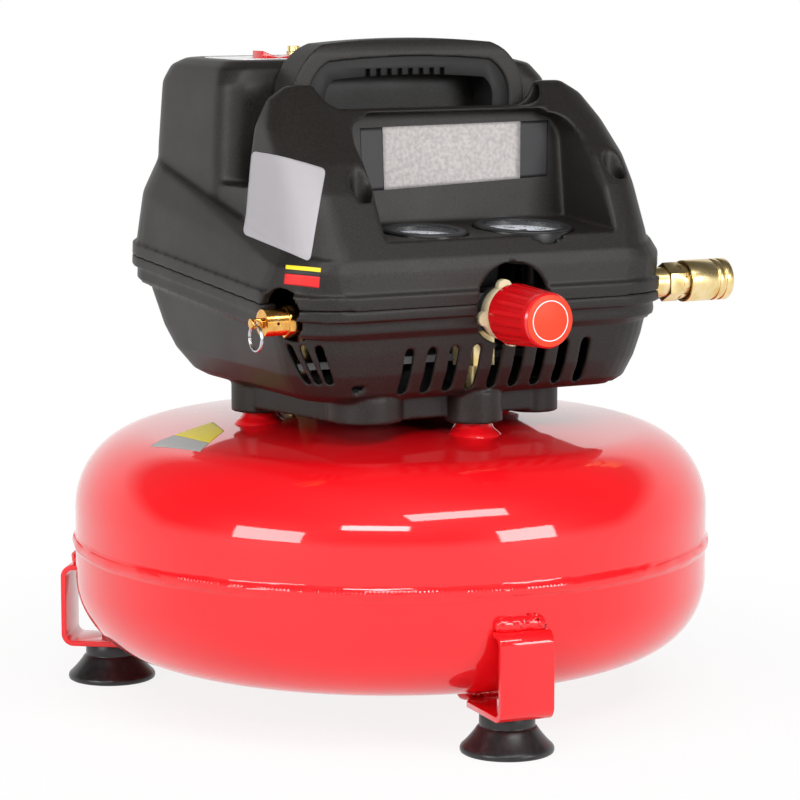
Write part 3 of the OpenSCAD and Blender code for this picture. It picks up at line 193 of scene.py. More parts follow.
def finish(name, colour, roughness, metallic=0.0, coat=0.0, coat_roughness=0.03, specular=0.5):
    material = bpy.data.materials.new(name)
    material.use_nodes = True
    shader = material.node_tree.nodes["Principled BSDF"]
    shader.inputs["Base Color"].default_value = (*colour, 1)
    shader.inputs["Roughness"].default_value = roughness
    shader.inputs["Metallic"].default_value = metallic
    shader.inputs["Coat Weight"].default_value = coat
    shader.inputs["Coat Roughness"].default_value = coat_roughness
    shader.inputs["Specular IOR Level"].default_value = specular
    material.diffuse_color = (*colour, 1)
    return material


def noise_on(material, scale, detail=2.0, stretch=(1, 1, 1)):
    """A noise texture in object coordinates; scale counts features per metre."""
    nodes = material.node_tree.nodes
    place = nodes.new("ShaderNodeTexCoord")
    mapping = nodes.new("ShaderNodeMapping")
    mapping.inputs["Scale"].default_value = stretch
    grain = nodes.new("ShaderNodeTexNoise")
    grain.inputs["Scale"].default_value = scale
    grain.inputs["Detail"].default_value = detail
    wire(material.node_tree, (place, "Object", mapping, "Vector"),
         (mapping, "Vector", grain, "Vector"))
    return grain


def vary_colour(material, grain, dark, light, low=0.35, high=0.65):
    """The base colour drifts between two values with a noise."""
    nodes = material.node_tree.nodes
    ramp = nodes.new("ShaderNodeValToRGB")
    ramp.color_ramp.elements[0].position = low
    ramp.color_ramp.elements[0].color = (*dark, 1)
    ramp.color_ramp.elements[1].position = high
    ramp.color_ramp.elements[1].color = (*light, 1)
    wire(material.node_tree, (grain, "Fac", ramp, "Fac"),
         (ramp, "Color", nodes["Principled BSDF"], "Base Color"))


def vary_roughness(material, grain, low, high):
    nodes = material.node_tree.nodes
    spread = nodes.new("ShaderNodeMapRange")
    spread.inputs["To Min"].default_value = low
    spread.inputs["To Max"].default_value = high
    wire(material.node_tree, (grain, "Fac", spread, "Value"),
         (spread, "Result", nodes["Principled BSDF"], "Roughness"))


def bump(material, grain, strength, height_mm, socket="Normal"):
    nodes = material.node_tree.nodes
    node = nodes.new("ShaderNodeBump")
    node.inputs["Strength"].default_value = strength
    node.inputs["Distance"].default_value = height_mm * MM
    wire(material.node_tree, (grain, "Fac", node, "Height"),
         (node, "Normal", nodes["Principled BSDF"], socket))


print("finish helpers ready")

# %% Paint, plastics and rubber
CLEAR_COAT_IOR = 1.54
red_paint = finish("red paint", (0.84, 0.004, 0.009), 0.42, specular=0.18,
                   coat=1.0, coat_roughness=0.045)
paint_shader = red_paint.node_tree.nodes["Principled BSDF"]
paint_shader.inputs["Coat IOR"].default_value = CLEAR_COAT_IOR
vary_colour(red_paint, noise_on(red_paint, 9, 1), (0.81, 0.003, 0.008), (0.87, 0.005, 0.010))
bump(red_paint, noise_on(red_paint, 260, 1), 0.10, 0.05, "Coat Normal")

charcoal = finish("charcoal shroud plastic", (0.014, 0.0115, 0.010), 0.46, specular=0.36)
vary_colour(charcoal, noise_on(charcoal, 1400, 3), (0.007, 0.0058, 0.005), (0.021, 0.0175, 0.0155))
vary_roughness(charcoal, noise_on(charcoal, 30, 2), 0.38, 0.52)
bump(charcoal, noise_on(charcoal, 2200, 2), 0.5, 0.06)

grip_black = finish("grip plastic", (0.018, 0.017, 0.016), 0.5, specular=0.36)
vary_colour(grip_black, noise_on(grip_black, 1500, 3), (0.011, 0.010, 0.009), (0.027, 0.025, 0.023))
bump(grip_black, noise_on(grip_black, 1700, 2), 0.6, 0.09)

# The insert is darker than the grip plastic. Part of that darkness is painted shade for the channel
# inside the handle's loop.
insert_black_shaded = finish("handle insert plastic", (0.009, 0.009, 0.009), 0.5, specular=0.3)
bump(insert_black_shaded, noise_on(insert_black_shaded, 1700, 2), 0.5, 0.08)

foot_rubber = finish("foot rubber", (0.012, 0.011, 0.012), 0.34, specular=0.5)
vary_colour(foot_rubber, noise_on(foot_rubber, 300, 3),
            (0.009, 0.008, 0.009), (0.018, 0.017, 0.018))
bump(foot_rubber, noise_on(foot_rubber, 500, 2), 0.25, 0.04)

plain_black = finish("plain black plastic", (0.022, 0.022, 0.024), 0.42)
bump(plain_black, noise_on(plain_black, 1800, 2), 0.3, 0.04)

print("paint, shroud, grip and rubber ready")

# %% Small plastics and prints
gauge_black = finish("gloss black", (0.010, 0.010, 0.010), 0.3, specular=0.3)
bump(gauge_black, noise_on(gauge_black, 500, 1), 0.1, 0.02)

knob_red = finish("red knob plastic", (0.68, 0.006, 0.010), 0.26, coat=0.5, coat_roughness=0.08)
bump(knob_red, noise_on(knob_red, 900, 2), 0.15, 0.03)

knob_face = finish("knob face", (0.84, 0.055, 0.018), 0.45, specular=0.3)
bump(knob_face, noise_on(knob_face, 1200, 2), 0.15, 0.02)

cream = finish("cream nylon", (0.72, 0.62, 0.40), 0.42)
bump(cream, noise_on(cream, 1100, 2), 0.25, 0.04)

white_print = finish("white print", (0.86, 0.86, 0.86), 0.4)
dial_face = finish("dial face", (0.84, 0.86, 0.93), 0.5)
vary_colour(dial_face, noise_on(dial_face, 120, 1), (0.82, 0.84, 0.92), (0.87, 0.89, 0.95))
ink = finish("black print", (0.012, 0.012, 0.014), 0.5)
red_print = finish("red print", (0.72, 0.012, 0.012), 0.45)
yellow_print = finish("yellow print", (0.83, 0.66, 0.02), 0.45)
grey_print = finish("grey print", (0.42, 0.41, 0.40), 0.5)
label_grey = finish("label film", (0.40, 0.38, 0.40), 0.5, specular=0.25)
print("finishes so far:", len(bpy.data.materials))

# %% Metals and glass
brass = finish("turned brass", (0.88, 0.68, 0.32), 0.2, metallic=1.0)
vary_colour(brass, noise_on(brass, 140, 3), (0.82, 0.60, 0.24), (0.94, 0.76, 0.42))
vary_roughness(brass, noise_on(brass, 900, 3, (3, 1, 1)), 0.22, 0.38)
bump(brass, noise_on(brass, 1200, 2, (4, 1, 1)), 0.25, 0.02)

valve_brass = finish("valve brass", (0.80, 0.42, 0.10), 0.2, metallic=1.0)
vary_colour(valve_brass, noise_on(valve_brass, 180, 3), (0.72, 0.34, 0.07), (0.88, 0.52, 0.16))
bump(valve_brass, noise_on(valve_brass, 1200, 2, (4, 1, 1)), 0.25, 0.02)

steel = finish("zinc plated steel", (0.62, 0.63, 0.65), 0.28, metallic=1.0)
vary_roughness(steel, noise_on(steel, 600, 3), 0.2, 0.4)

cast_alloy = finish("cast aluminium", (0.52, 0.52, 0.53), 0.5, metallic=1.0)
bump(cast_alloy, noise_on(cast_alloy, 900, 3), 0.4, 0.1)

dark_alloy = finish("blackened alloy", (0.16, 0.15, 0.15), 0.5, metallic=0.8)
bump(dark_alloy, noise_on(dark_alloy, 900, 3), 0.4, 0.1)

core_steel = finish("laminated steel", (0.26, 0.26, 0.28), 0.45, metallic=1.0)
bump(core_steel, noise_on(core_steel, 1500, 1, (8, 0.1, 0.1)), 0.5, 0.08)

copper = finish("drawn copper", (0.74, 0.34, 0.20), 0.3, metallic=1.0)
vary_roughness(copper, noise_on(copper, 300, 3), 0.22, 0.42)

silver_film = finish("silver film", (0.42, 0.39, 0.39), 0.55, metallic=0.1)
vary_colour(silver_film, noise_on(silver_film, 500, 3), (0.38, 0.35, 0.35), (0.50, 0.47, 0.46))

clear_lens = finish("clear gauge lens", (0.9, 0.92, 0.95), 0.03)
clear_lens.node_tree.nodes["Principled BSDF"].inputs["Alpha"].default_value = 0.08
print("finishes:", len(bpy.data.materials))

# %% [markdown]
# ## Camera and studio
#
# A long lens from the front left, a little above the parting line, keeps the tank's ellipse
# shallow. The backdrop is white only for rays that come from the camera or are mirrored or
# bent towards it; large soft lamps draw the long window shapes on the painted shoulder.

# %% Camera
CAMERA_DISTANCE, CAMERA_HEIGHT = 1.75, 0.408
CAMERA_AZIMUTH, CAMERA_TILT, CAMERA_PAN = -28.5, 82, 0.17
camera_data = bpy.data.cameras.new("camera")
camera_data.lens = 143.3
camera_data.sensor_width = 36
camera_data.clip_start = 0.05
camera = bpy.data.objects.new("camera", camera_data)
bpy.context.scene.collection.objects.link(camera)
turn = math.radians(CAMERA_AZIMUTH)
camera.location = (CAMERA_DISTANCE * math.sin(turn), -CAMERA_DISTANCE * math.cos(turn),
                   CAMERA_HEIGHT)
camera.rotation_euler = (math.radians(CAMERA_TILT), 0, turn - math.radians(CAMERA_PAN))
bpy.context.scene.camera = camera
bpy.context.scene.view_settings.view_transform = "Standard"
print("camera at", [round(v, 3) for v in camera.location])

# %% World
# A mirrored ray meets a white room up to a low height and a dark ceiling above it. The white
# reaches higher on the far side, as a sheet of paper rising behind the machine would.
AWAY_FROM_CAMERA = (0.477, 0.879, 0)
PAPER_RISE = 0.52
WHITE_UP_TO, DARK_FROM, CEILING_GREY = 0.06, 0.26, 0.10
AMBIENT = 0.13
world = bpy.data.worlds.new("studio")
bpy.context.scene.world = world
world.use_nodes = True
room = world.node_tree.nodes
ambient = room["Background"]
ambient.inputs["Color"].default_value = (1, 1, 1, 1)
ambient.inputs["Strength"].default_value = AMBIENT
backdrop = room.new("ShaderNodeBackground")
backdrop.inputs["Color"].default_value = (1, 1, 1, 1)
mirrored = room.new("ShaderNodeBackground")
direction = room.new("ShaderNodeTexCoord")
axes = room.new("ShaderNodeSeparateXYZ")
rearward = room.new("ShaderNodeVectorMath")
rearward.operation = "DOT_PRODUCT"
rearward.inputs[1].default_value = AWAY_FROM_CAMERA
paper = room.new("ShaderNodeMapRange")
paper.inputs["To Max"].default_value = PAPER_RISE
horizon = room.new("ShaderNodeMath")
horizon.operation = "SUBTRACT"
ceiling = room.new("ShaderNodeValToRGB")
ceiling.color_ramp.elements[0].position = WHITE_UP_TO
ceiling.color_ramp.elements[0].color = (1, 1, 1, 1)
ceiling.color_ramp.elements[1].position = DARK_FROM
ceiling.color_ramp.elements[1].color = (CEILING_GREY, CEILING_GREY, CEILING_GREY, 1)
ray = room.new("ShaderNodeLightPath")
either = room.new("ShaderNodeMath")
either.operation = "MAXIMUM"
by_gloss = room.new("ShaderNodeMixShader")
by_view = room.new("ShaderNodeMixShader")
wire(world.node_tree,
     (direction, "Generated", axes, "Vector"), (direction, "Generated", rearward, 0),
     (rearward, "Value", paper, "Value"), (axes, "Z", horizon, 0),
     (paper, "Result", horizon, 1), (horizon, "Value", ceiling, "Fac"),
     (ceiling, "Color", mirrored, "Color"), (ray, "Is Glossy Ray", by_gloss, "Fac"),
     (ambient, "Background", by_gloss, 1), (mirrored, "Background", by_gloss, 2),
     (ray, "Is Camera Ray", either, 0), (ray, "Is Transmission Ray", either, 1),
     (either, "Value", by_view, "Fac"), (by_gloss, "Shader", by_view, 1),
     (backdrop, "Background", by_view, 2), (by_view, "Shader", room["World Output"], "Surface"))
print("world nodes:", len(room))


# %% Lamps
def window(name, azimuth, elevation, distance, width, height, brightness, mirrored_too=True):
    """A soft lamp seen from the compressor in a direction given in degrees."""
    aim = Vector((0, 0, 0.13))
    a, e = math.radians(azimuth), math.radians(elevation)
    data = bpy.data.lights.new(name, "AREA")
    data.shape = "RECTANGLE"
    data.size, data.size_y = width, height
    data.energy = brightness * width * height * math.pi
    obj = bpy.data.objects.new(name, data)
    obj.visible_glossy = mirrored_too
    bpy.context.scene.collection.objects.link(obj)
    obj.location = aim + distance * Vector((math.sin(a) * math.cos(e),
                                            -math.cos(a) * math.cos(e), math.sin(e)))
    obj.rotation_euler = (aim - obj.location).to_track_quat("-Z", "Y").to_euler()


window("left window", -72, 15, 2.6, 1.15, 0.62, 10.5)
window("front window", -34, 30, 2.6, 1.00, 0.28, 16)
window("high window", 0, 45, 2.6, 1.45, 0.42, 11.5)
window("right window", 20, 14, 2.6, 0.95, 0.62, 12)
window("ceiling sheet", -50, 62, 2.4, 1.7, 1.2, 2.0, False)
window("rear sheet", 150, 40, 2.6, 2.2, 1.2, 1.5, False)
window("far left sheet", -135, 35, 2.6, 1.8, 1.2, 1.2, False)
print("lamps:", len(bpy.data.lights))

# %% Floor
# Near the machine the floor is partly a plain white surface, so that it keeps a soft shadow.
# Further out it turns into even white.
SHADOW_FROM, SHADOW_TO, NEAR_SHARE = 0.14, 0.42, 0.86
ground = bmesh.new()
bmesh.ops.create_grid(ground, x_segments=1, y_segments=1, size=6)
floor = from_bmesh("floor", ground)
floor_white = finish("floor white", (0.90, 0.90, 0.90), 0.9, specular=0.0)
fn = floor_white.node_tree.nodes
shine = fn.new("ShaderNodeEmission")
shine.inputs["Strength"].default_value = 1.0
blend = fn.new("ShaderNodeMixShader")
away = fn.new("ShaderNodeMapRange")
away.inputs["From Min"].default_value = SHADOW_FROM
away.inputs["From Max"].default_value = SHADOW_TO
away.inputs["To Min"].default_value = NEAR_SHARE
away.inputs["To Max"].default_value = 1.0
spot = fn.new("ShaderNodeTexCoord")
far = fn.new("ShaderNodeVectorMath")
far.operation = "LENGTH"
seen_by = fn.new("ShaderNodeLightPath")
eye, eye_or_glass, share = [fn.new("ShaderNodeMath") for _ in range(3)]
eye.operation = eye_or_glass.operation = "MAXIMUM"
share.operation = "MULTIPLY"
wire(floor_white.node_tree,
     (spot, "Object", far, 0), (far, "Value", away, "Value"),
     (seen_by, "Is Camera Ray", eye, 0), (seen_by, "Is Glossy Ray", eye, 1),
     (eye, "Value", eye_or_glass, 0), (seen_by, "Is Transmission Ray", eye_or_glass, 1),
     (eye_or_glass, "Value", share, 0), (away, "Result", share, 1),
     (share, "Value", blend, "Fac"), (fn["Principled BSDF"], "BSDF", blend, 1),
     (shine, "Emission", blend, 2), (blend, "Shader", fn["Material Output"], "Surface"))
dress(floor, floor_white)
print("floor laid")

# %% [markdown]
# ## Tank
#
# Each half of the real tank is deep drawn from sheet: a short straight side, a rolled shoulder
# and a dish with a very large radius. A lathe gives exactly that. The same arcs are drawn here
# with far more steps than the solid has, so that a reflection runs over the shoulder unbroken.

# %% Tank halves
TANK_R, WALL, SEAM_Z = 0.175, 0.002, 0.087
KNUCKLE_STEPS, DISH_STEPS, TURN_STEPS = 28, 24, 256


def head_arc(side_z, up, knuckle, dish, inset):
    """The rolled shoulder and the dish as (radius, height) points, from the side inwards."""
    r, rk, rd = TANK_R - inset, knuckle - inset, dish - inset
    edge = math.asin((r - rk) / (rd - rk))
    centre_z = side_z - up * (rd - rk) * math.cos(edge)
    out = []
    for i in range(KNUCKLE_STEPS + 1):
        u = (math.pi / 2 - edge) * i / KNUCKLE_STEPS
        out.append((r - rk + rk * math.cos(u), side_z + up * rk * math.sin(u)))
    for i in range(1, DISH_STEPS + 1):
        v = edge * (1 - i / DISH_STEPS)
        out.append((rd * math.sin(v), centre_z + up * rd * math.cos(v)))
    return out


def tank_half(name, node, side_z, up, knuckle, dish):
    outside = head_arc(side_z, up, knuckle, dish, 0)
    inside = head_arc(side_z, up, knuckle, dish, WALL)
    profile = [(TANK_R - WALL, SEAM_Z), (TANK_R, SEAM_Z)] + outside + inside[::-1]
    obj = turned(name, profile, TURN_STEPS)
    dress(obj, red_paint)
    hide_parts(node)
    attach(obj, BODY)
    return obj


upper_tank = tank_half("tank_top_half", "tank_upper_shell", 0.105, 1, 0.044, 1.3)
lower_tank = tank_half("tank_bottom_half", "tank_lower_shell", 0.067, -1, 0.040, 1.0)
print("tank faces:", len(upper_tank.data.polygons) + len(lower_tank.data.polygons))

# %% [markdown]
# ## Weld seam
#
# A machine lays the seam in one turn, and the pool freezes in fine overlapping scales. One
# scale is a flattened bead; Geometry Nodes set a row of them along a circle, which keeps the
# count and the pitch open to change. A plain half-round band under them closes the gaps.

# %% Helpers for node trees
def group_with_sockets(name, sockets):
    """A geometry tree with named inputs; each socket is (name, kind, value)."""
    tree = bpy.data.node_groups.new(name, "GeometryNodeTree")
    for label, kind, value in sockets:
        item = tree.interface.new_socket(name=label, in_out="INPUT", socket_type=kind)
        if value is not None:
            item.default_value = value
    tree.interface.new_socket(name="Geometry", in_out="OUTPUT", socket_type="NodeSocketGeometry")
    return tree, tree.nodes.new("NodeGroupInput"), tree.nodes.new("NodeGroupOutput")


def grown(name, tree, settings, material):
    """A plain mesh grown by a node tree; settings are the tree's named inputs."""
    obj = add_object(name, bpy.data.meshes.new(name))
    modifier = obj.modifiers.new(name, "NODES")
    modifier.node_group = tree
    for item in tree.interface.items_tree:
        if item.in_out == "INPUT" and item.name in settings:
            modifier[item.identifier] = settings[item.name]
    settle(obj)
    dress(obj, material)
    return obj


print("tree helpers ready")

# %% Weld scales along the seam
seam, seam_in, seam_out = group_with_sockets("weld scales", [
    ("Radius", "NodeSocketFloat", 0.175), ("Count", "NodeSocketInt", 300),
    ("Scale Size", "NodeSocketVector", (0.003, 0.004, 0.001)),
    ("Material", "NodeSocketMaterial", None)])
n = seam.nodes
circle = n.new("GeometryNodeMeshCircle")
bead = n.new("GeometryNodeMeshIcoSphere")
bead.inputs["Subdivisions"].default_value = 2
bead.inputs["Radius"].default_value = 1.0
squash = n.new("GeometryNodeTransform")
spread = n.new("GeometryNodeInstanceOnPoints")
where = n.new("GeometryNodeInputPosition")
face_out = n.new("FunctionNodeAlignRotationToVector")
face_out.axis = "Z"
real = n.new("GeometryNodeRealizeInstances")
paint = n.new("GeometryNodeSetMaterial")
wire(seam,
     (seam_in, "Count", circle, "Vertices"), (seam_in, "Radius", circle, "Radius"),
     (seam_in, "Scale Size", squash, "Scale"), (bead, "Mesh", squash, "Geometry"),
     (circle, "Mesh", spread, "Points"), (squash, "Geometry", spread, "Instance"),
     (where, "Position", face_out, "Vector"), (face_out, "Rotation", spread, "Rotation"),
     (spread, "Instances", real, "Geometry"), (real, "Geometry", paint, "Geometry"),
     (seam_in, "Material", paint, "Material"), (paint, "Geometry", seam_out, "Geometry"))
scales = grown("seam_scales", seam, {
    "Radius": TANK_R + 0.0006, "Count": 520, "Scale Size": (0.0030, 0.0026, 0.0010),
    "Material": red_paint}, red_paint)
SEAM_DRIFT, SCALE_DRIFT = 0.0010, 0.0006
for v in scales.data.vertices:
    drift = noise.noise(Vector((v.co.x * 9, v.co.y * 9, 0)))
    v.co.z += SEAM_Z + SEAM_DRIFT * drift
    out = Vector((v.co.x, v.co.y, 0)).normalized()
    v.co += out * SCALE_DRIFT * noise.noise(v.co * 60)
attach(scales, BODY)
print("weld scales, faces:", len(scales.data.polygons))

# %% Seam band
# The bead fades into the sheet on both sides, so its profile is a squared cosine.
BEAD_HALF, BEAD_HEIGHT, BEAD_ROOT = 0.0052, 0.0016, 0.0015
band = [(TANK_R - BEAD_ROOT, SEAM_Z - BEAD_HALF)]
band += [(TANK_R - 0.0001 + BEAD_HEIGHT * math.cos(math.pi * i / 32) ** 2,
          SEAM_Z + BEAD_HALF * i / 16) for i in range(-16, 17)]
band += [(TANK_R - BEAD_ROOT, SEAM_Z + BEAD_HALF)]
seam_band = turned("seam_band", band, 720)
for v in seam_band.data.vertices:
    out = Vector((v.co.x, v.co.y, 0)).normalized()
    side = (v.co.z - SEAM_Z) / BEAD_HALF
    wander = noise.noise(v.co * 24) + 0.5 * noise.noise(v.co * 90)
    v.co.z += 0.0006 * wander
    v.co += out * (0.0003 * noise.noise(v.co * 160) + 0.0002 * wander) * (1 - side * side)
dress(seam_band, red_paint)
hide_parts("weld_beads")
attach(seam_band, BODY)
print("seam band, faces:", len(seam_band.data.polygons))

# %% Welds on the feet
# A hand-laid weld is a frozen puddle: one skin of voxels, relaxed and then swollen unevenly.
foot_weld_mesh = merged("weld_beads")
bmesh.ops.delete(foot_weld_mesh, context="VERTS",
                 geom=[v for v in foot_weld_mesh.verts if abs(v.co.z - SEAM_Z) < 0.006])
foot_welds = from_bmesh("foot_welds", foot_weld_mesh)
skin = foot_welds.modifiers.new("one skin", "REMESH")
skin.mode = "VOXEL"
skin.voxel_size = 0.0006
skin.use_smooth_shade = True
melt = foot_welds.modifiers.new("melted", "SMOOTH")
melt.factor, melt.iterations = 0.5, 12
settle(foot_welds)
SWELL, LUMPS, RIPPLES = 0.0009, 0.0011, 0.0002
for v in foot_welds.data.vertices:
    v.co += v.normal * (SWELL + LUMPS * noise.noise(v.co * 150)
                        + RIPPLES * noise.noise(v.co * 500))
dress(foot_welds, red_paint)
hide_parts("weld_beads")
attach(foot_welds, BODY)
print("foot welds, faces:", len(foot_welds.data.polygons))

# %% [markdown]
# ## Feet, brackets and posts
#
# The brackets are strips bent round a mandrel and welded on: their solids have the right form,
# so a small edge radius is all they lack. The feet are turned rubber buffers with a neck, a
# crease and a thin lip. The posts are bar ends, each melted into a puddle of weld at its root.

# %% Brackets
for place in ("front", "left", "right"):
    softened("foot_bracket_" + place, 0.9, material=red_paint, segments=3)
print("brackets: 3")

# %% Rubber feet
# Radius and height in millimetres, from the floor up the outside and down the screw's hole.
FOOT_CIRCLE = 0.160
FOOT_STEPS = 96
foot_profile = [(19.6, 0), (23.4, 0), (24.2, 0.5), (24.5, 1.4), (24.4, 2.6), (23.9, 3.5),
                (22.6, 4.7), (20.6, 6.8), (18.4, 9.4), (16.9, 11.4), (15.9, 12.9), (15.3, 13.6),
                (14.7, 13.9), (14.4, 14.3), (14.5, 14.9), (14.6, 15.6), (14.5, 19.9), (14.2, 20.5),
                (3.25, 20.5), (3.25, 14.5), (8.0, 14.5), (8.0, 4.0)]
for place, angle in (("front", -6.5), ("left", -126.5), ("right", 113.5)):
    a = math.radians(angle)
    spot_of_foot = Matrix.Translation((FOOT_CIRCLE * math.sin(a), -FOOT_CIRCLE * math.cos(a), 0))
    foot = turned("foot_" + place, [(r * MM, z * MM) for r, z in foot_profile], FOOT_STEPS,
                  spot_of_foot, 50)
    dress(foot, foot_rubber)
    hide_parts("rubber_foot_" + place)
    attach(foot, BODY)
print("rubber feet: 3")

# %% Posts with a weld puddle
# Place and bore of each post, in millimetres. The front post is hollow and carries the riser.
DISH_TOP, DISH_R = 155.8, 1300
POST_TOP, PUDDLE_REACH = 170.0, 0.005
posts = [(8, -78, 5.0), (-74, 14, 0), (74, 14, 0), (-50, 57, 0), (50, 57, 0)]
for number, (x, y, bore) in enumerate(posts):
    top = DISH_TOP - DISH_R + math.sqrt(DISH_R ** 2 - x * x - y * y)
    radius = 9.8 if bore else 9.0
    profile = [(bore, top - 1.7), (radius + 5.6, top - 1.7), (radius + 4.9, top - 0.2),
               (radius + 3.4, top + 1.2), (radius + 1.9, top + 2.3), (radius + 0.8, top + 3.9),
               (radius + 0.15, top + 6.0), (radius, top + 8.0), (radius, 169.2),
               (radius - 0.7, POST_TOP), (bore, POST_TOP)]
    post = turned("post_%d" % number, [(r * MM, z * MM) for r, z in profile], 72,
                  Matrix.Translation((x * MM, y * MM, 0)), 60)
    for v in post.data.vertices:
        low = max(0, 1 - abs(v.co.z - top * MM) / PUDDLE_REACH)
        side = Vector((v.co.x - x * MM, v.co.y - y * MM, 0))
        if low and side.length > radius * MM:
            v.co += side.normalized() * 0.0014 * low * noise.noise(v.co * 130)
    dress(post, red_paint)
    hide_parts("shroud_posts")
    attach(post, BODY)
print("posts:", len(posts))

# %% [markdown]
# ## Moulded housings
#
# A moulded shroud has no sharp edge anywhere: every corner has a radius, inside and out. The
# solids have sharp steps between their hulls, so each is wrapped in one fine skin of voxels,
# and that skin is relaxed. Relaxing rounds the edges and leaves the large faces where they
# were. The hood and the console have larger radii, so the skin is relaxed more above a height.
# A bevel would be sharper work, but it fails where many small facets meet.

# %% Housings as one relaxed skin
LARGE_RADII_BLEND, LARGE_RADII_RELAX = 0.010, 26


def moulded(node, voxel, relax, keep, material, round_from=None):
    """A solid as one relaxed skin; voxel is in millimetres, keep the share of faces kept."""
    obj = from_bmesh(node + "_moulded", merged(node, 0.01))
    skin = obj.modifiers.new("one skin", "REMESH")
    skin.mode = "VOXEL"
    skin.voxel_size = voxel * MM
    skin.use_smooth_shade = True
    settle(obj)
    soft = obj.modifiers.new("relaxed", "SMOOTH")
    soft.factor, soft.iterations = 0.5, relax
    if round_from is not None:
        high = obj.vertex_groups.new(name="large radii")
        for v in obj.data.vertices:
            weight = min(1, max(0, (v.co.z - round_from) / LARGE_RADII_BLEND))
            if weight > 0:
                high.add([v.index], weight, "REPLACE")
        wide = obj.modifiers.new("large radii", "SMOOTH")
        wide.factor, wide.iterations = 0.5, round(LARGE_RADII_RELAX / (voxel * voxel))
        wide.vertex_group = high.name
    thin = obj.modifiers.new("fewer faces", "DECIMATE")
    thin.ratio = keep
    settle(obj)
    smooth_faces(obj)
    dress(obj, material)
    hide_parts(node)
    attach(obj, BODY)
    print(node, "faces:", len(obj.data.polygons))
    return obj


fine = 0.95
upper = moulded("upper_housing", fine, 3, 0.24, charcoal, round_from=0.262)
moulded("lower_housing", fine, 3, 0.3, charcoal)
moulded("handle_cover", 0.8, 4, 0.5, grip_black)
softened("handle_insert", 0.8, material=insert_black_shaded)

# %% [markdown]
# ## Brass fittings, knob and small hardware
#
# Turned and hexagonal parts catch a thin bright line along each edge, which comes from the tiny
# chamfer the tool leaves. The copies get that chamfer; their colour varies a little as brass does.

# %% Fittings
fittings = [
    ("coupler_body", 0.35, BODY, brass), ("coupler_sleeve", 0.35, "sleeve", brass),
    ("safety_valve_body", 0.3, BODY, valve_brass),
    ("safety_valve_pin", 0.25, "relief_pin", valve_brass),
    ("housing_screws", 0.2, BODY, steel), ("switch_plate", 0.15, BODY, white_print),
    ("switch_rocker", 0.5, "rocker", knob_red), ("unloader_fitting", 0.25, BODY, brass),
    ("regulator_bonnet", 0.5, BODY, cream), ("large_gauge_case", 0.4, BODY, gauge_black),
    ("small_gauge_case", 0.4, BODY, gauge_black), ("cord_inlet", 0.4, BODY, plain_black)]
for node, width, body, material in fittings:
    softened(node, width, body, material)
print("fittings:", len(fittings))

# %% [markdown]
# ## Springs and the pull ring
#
# The coupler's sleeve and the safety valve's pin each ride against a coil spring, which gets
# shorter as they move. A spring rides on one body only, so a rigid one would be cut by the
# moving part. Here each copy stays rigid on the machine's body, with a mesh of its own. The
# pull ring is a split ring: two turns of hard wire side by side. A path with a slight pitch,
# swept with a round section, gives it; a torus would lack the second turn.


def spring(node):
    """A copy of a spring on the machine's body, with a mesh of its own."""
    coil_copy = from_bmesh(node + "_wire", merged(node, 0.1), 50)
    dress(coil_copy, steel)
    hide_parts(node)
    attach(coil_copy, BODY)
    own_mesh(coil_copy)


spring("coupler_spring")
spring("safety_valve_spring")
print("springs: 2")

# %% Split pull ring
RING_R, WIRE_R, HALF_PITCH = 0.0067, 0.00058, 0.00062
FIRST_ANGLE, STEP_ANGLE, COIL_STEPS = 35, 7.5, 96
ring_centre = Vector((-0.1269, -0.0900, 0.21345))
coil = []
for i in range(COIL_STEPS + 1):
    a = math.radians(FIRST_ANGLE + STEP_ANGLE * i)
    coil.append(ring_centre + Vector((HALF_PITCH * (2 * i / COIL_STEPS - 1),
                                      RING_R * math.sin(a), RING_R * math.cos(a))))
pull_ring = swept("split_ring", coil, WIRE_R)
dress(pull_ring, steel)
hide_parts("safety_pull_ring")
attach(pull_ring, "pull_ring")
print("pull ring, faces:", len(pull_ring.data.polygons))

# %% [markdown]
# ## Regulator knob
#
# The knob is moulded with shallow scallops for the fingers; its cap is a brighter insert with a
# thin printed ring. The scalloped solid only lacks its radii, and the cap and the ring are
# turned discs laid on its front. All three ride on the regulator's body, so they turn as one.

# %% Knob and its cap
softened("regulator_knob", 0.55, "regulator", knob_red, angle=28, segments=3)
knob_front = (Matrix.Translation((0.0105, -0.1520, 0.2210))
              @ Matrix.Rotation(math.radians(90), 4, "X"))
cap = turned("knob_cap", [(0, -0.0003), (0.0134, -0.0003), (0.0134, 0.0001), (0.0129, 0.00035),
                          (0, 0.00035)], 96, knob_front, 60)
dress(cap, knob_face)
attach(cap, "regulator")
cap_ring = turned("knob_ring", [(0.0101, 0.0003), (0.0106, 0.0003), (0.0106, 0.00042),
                                (0.0101, 0.00042)], 96, knob_front, 60)
dress(cap_ring, white_print)
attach(cap_ring, "regulator")
print("knob, cap and ring done")
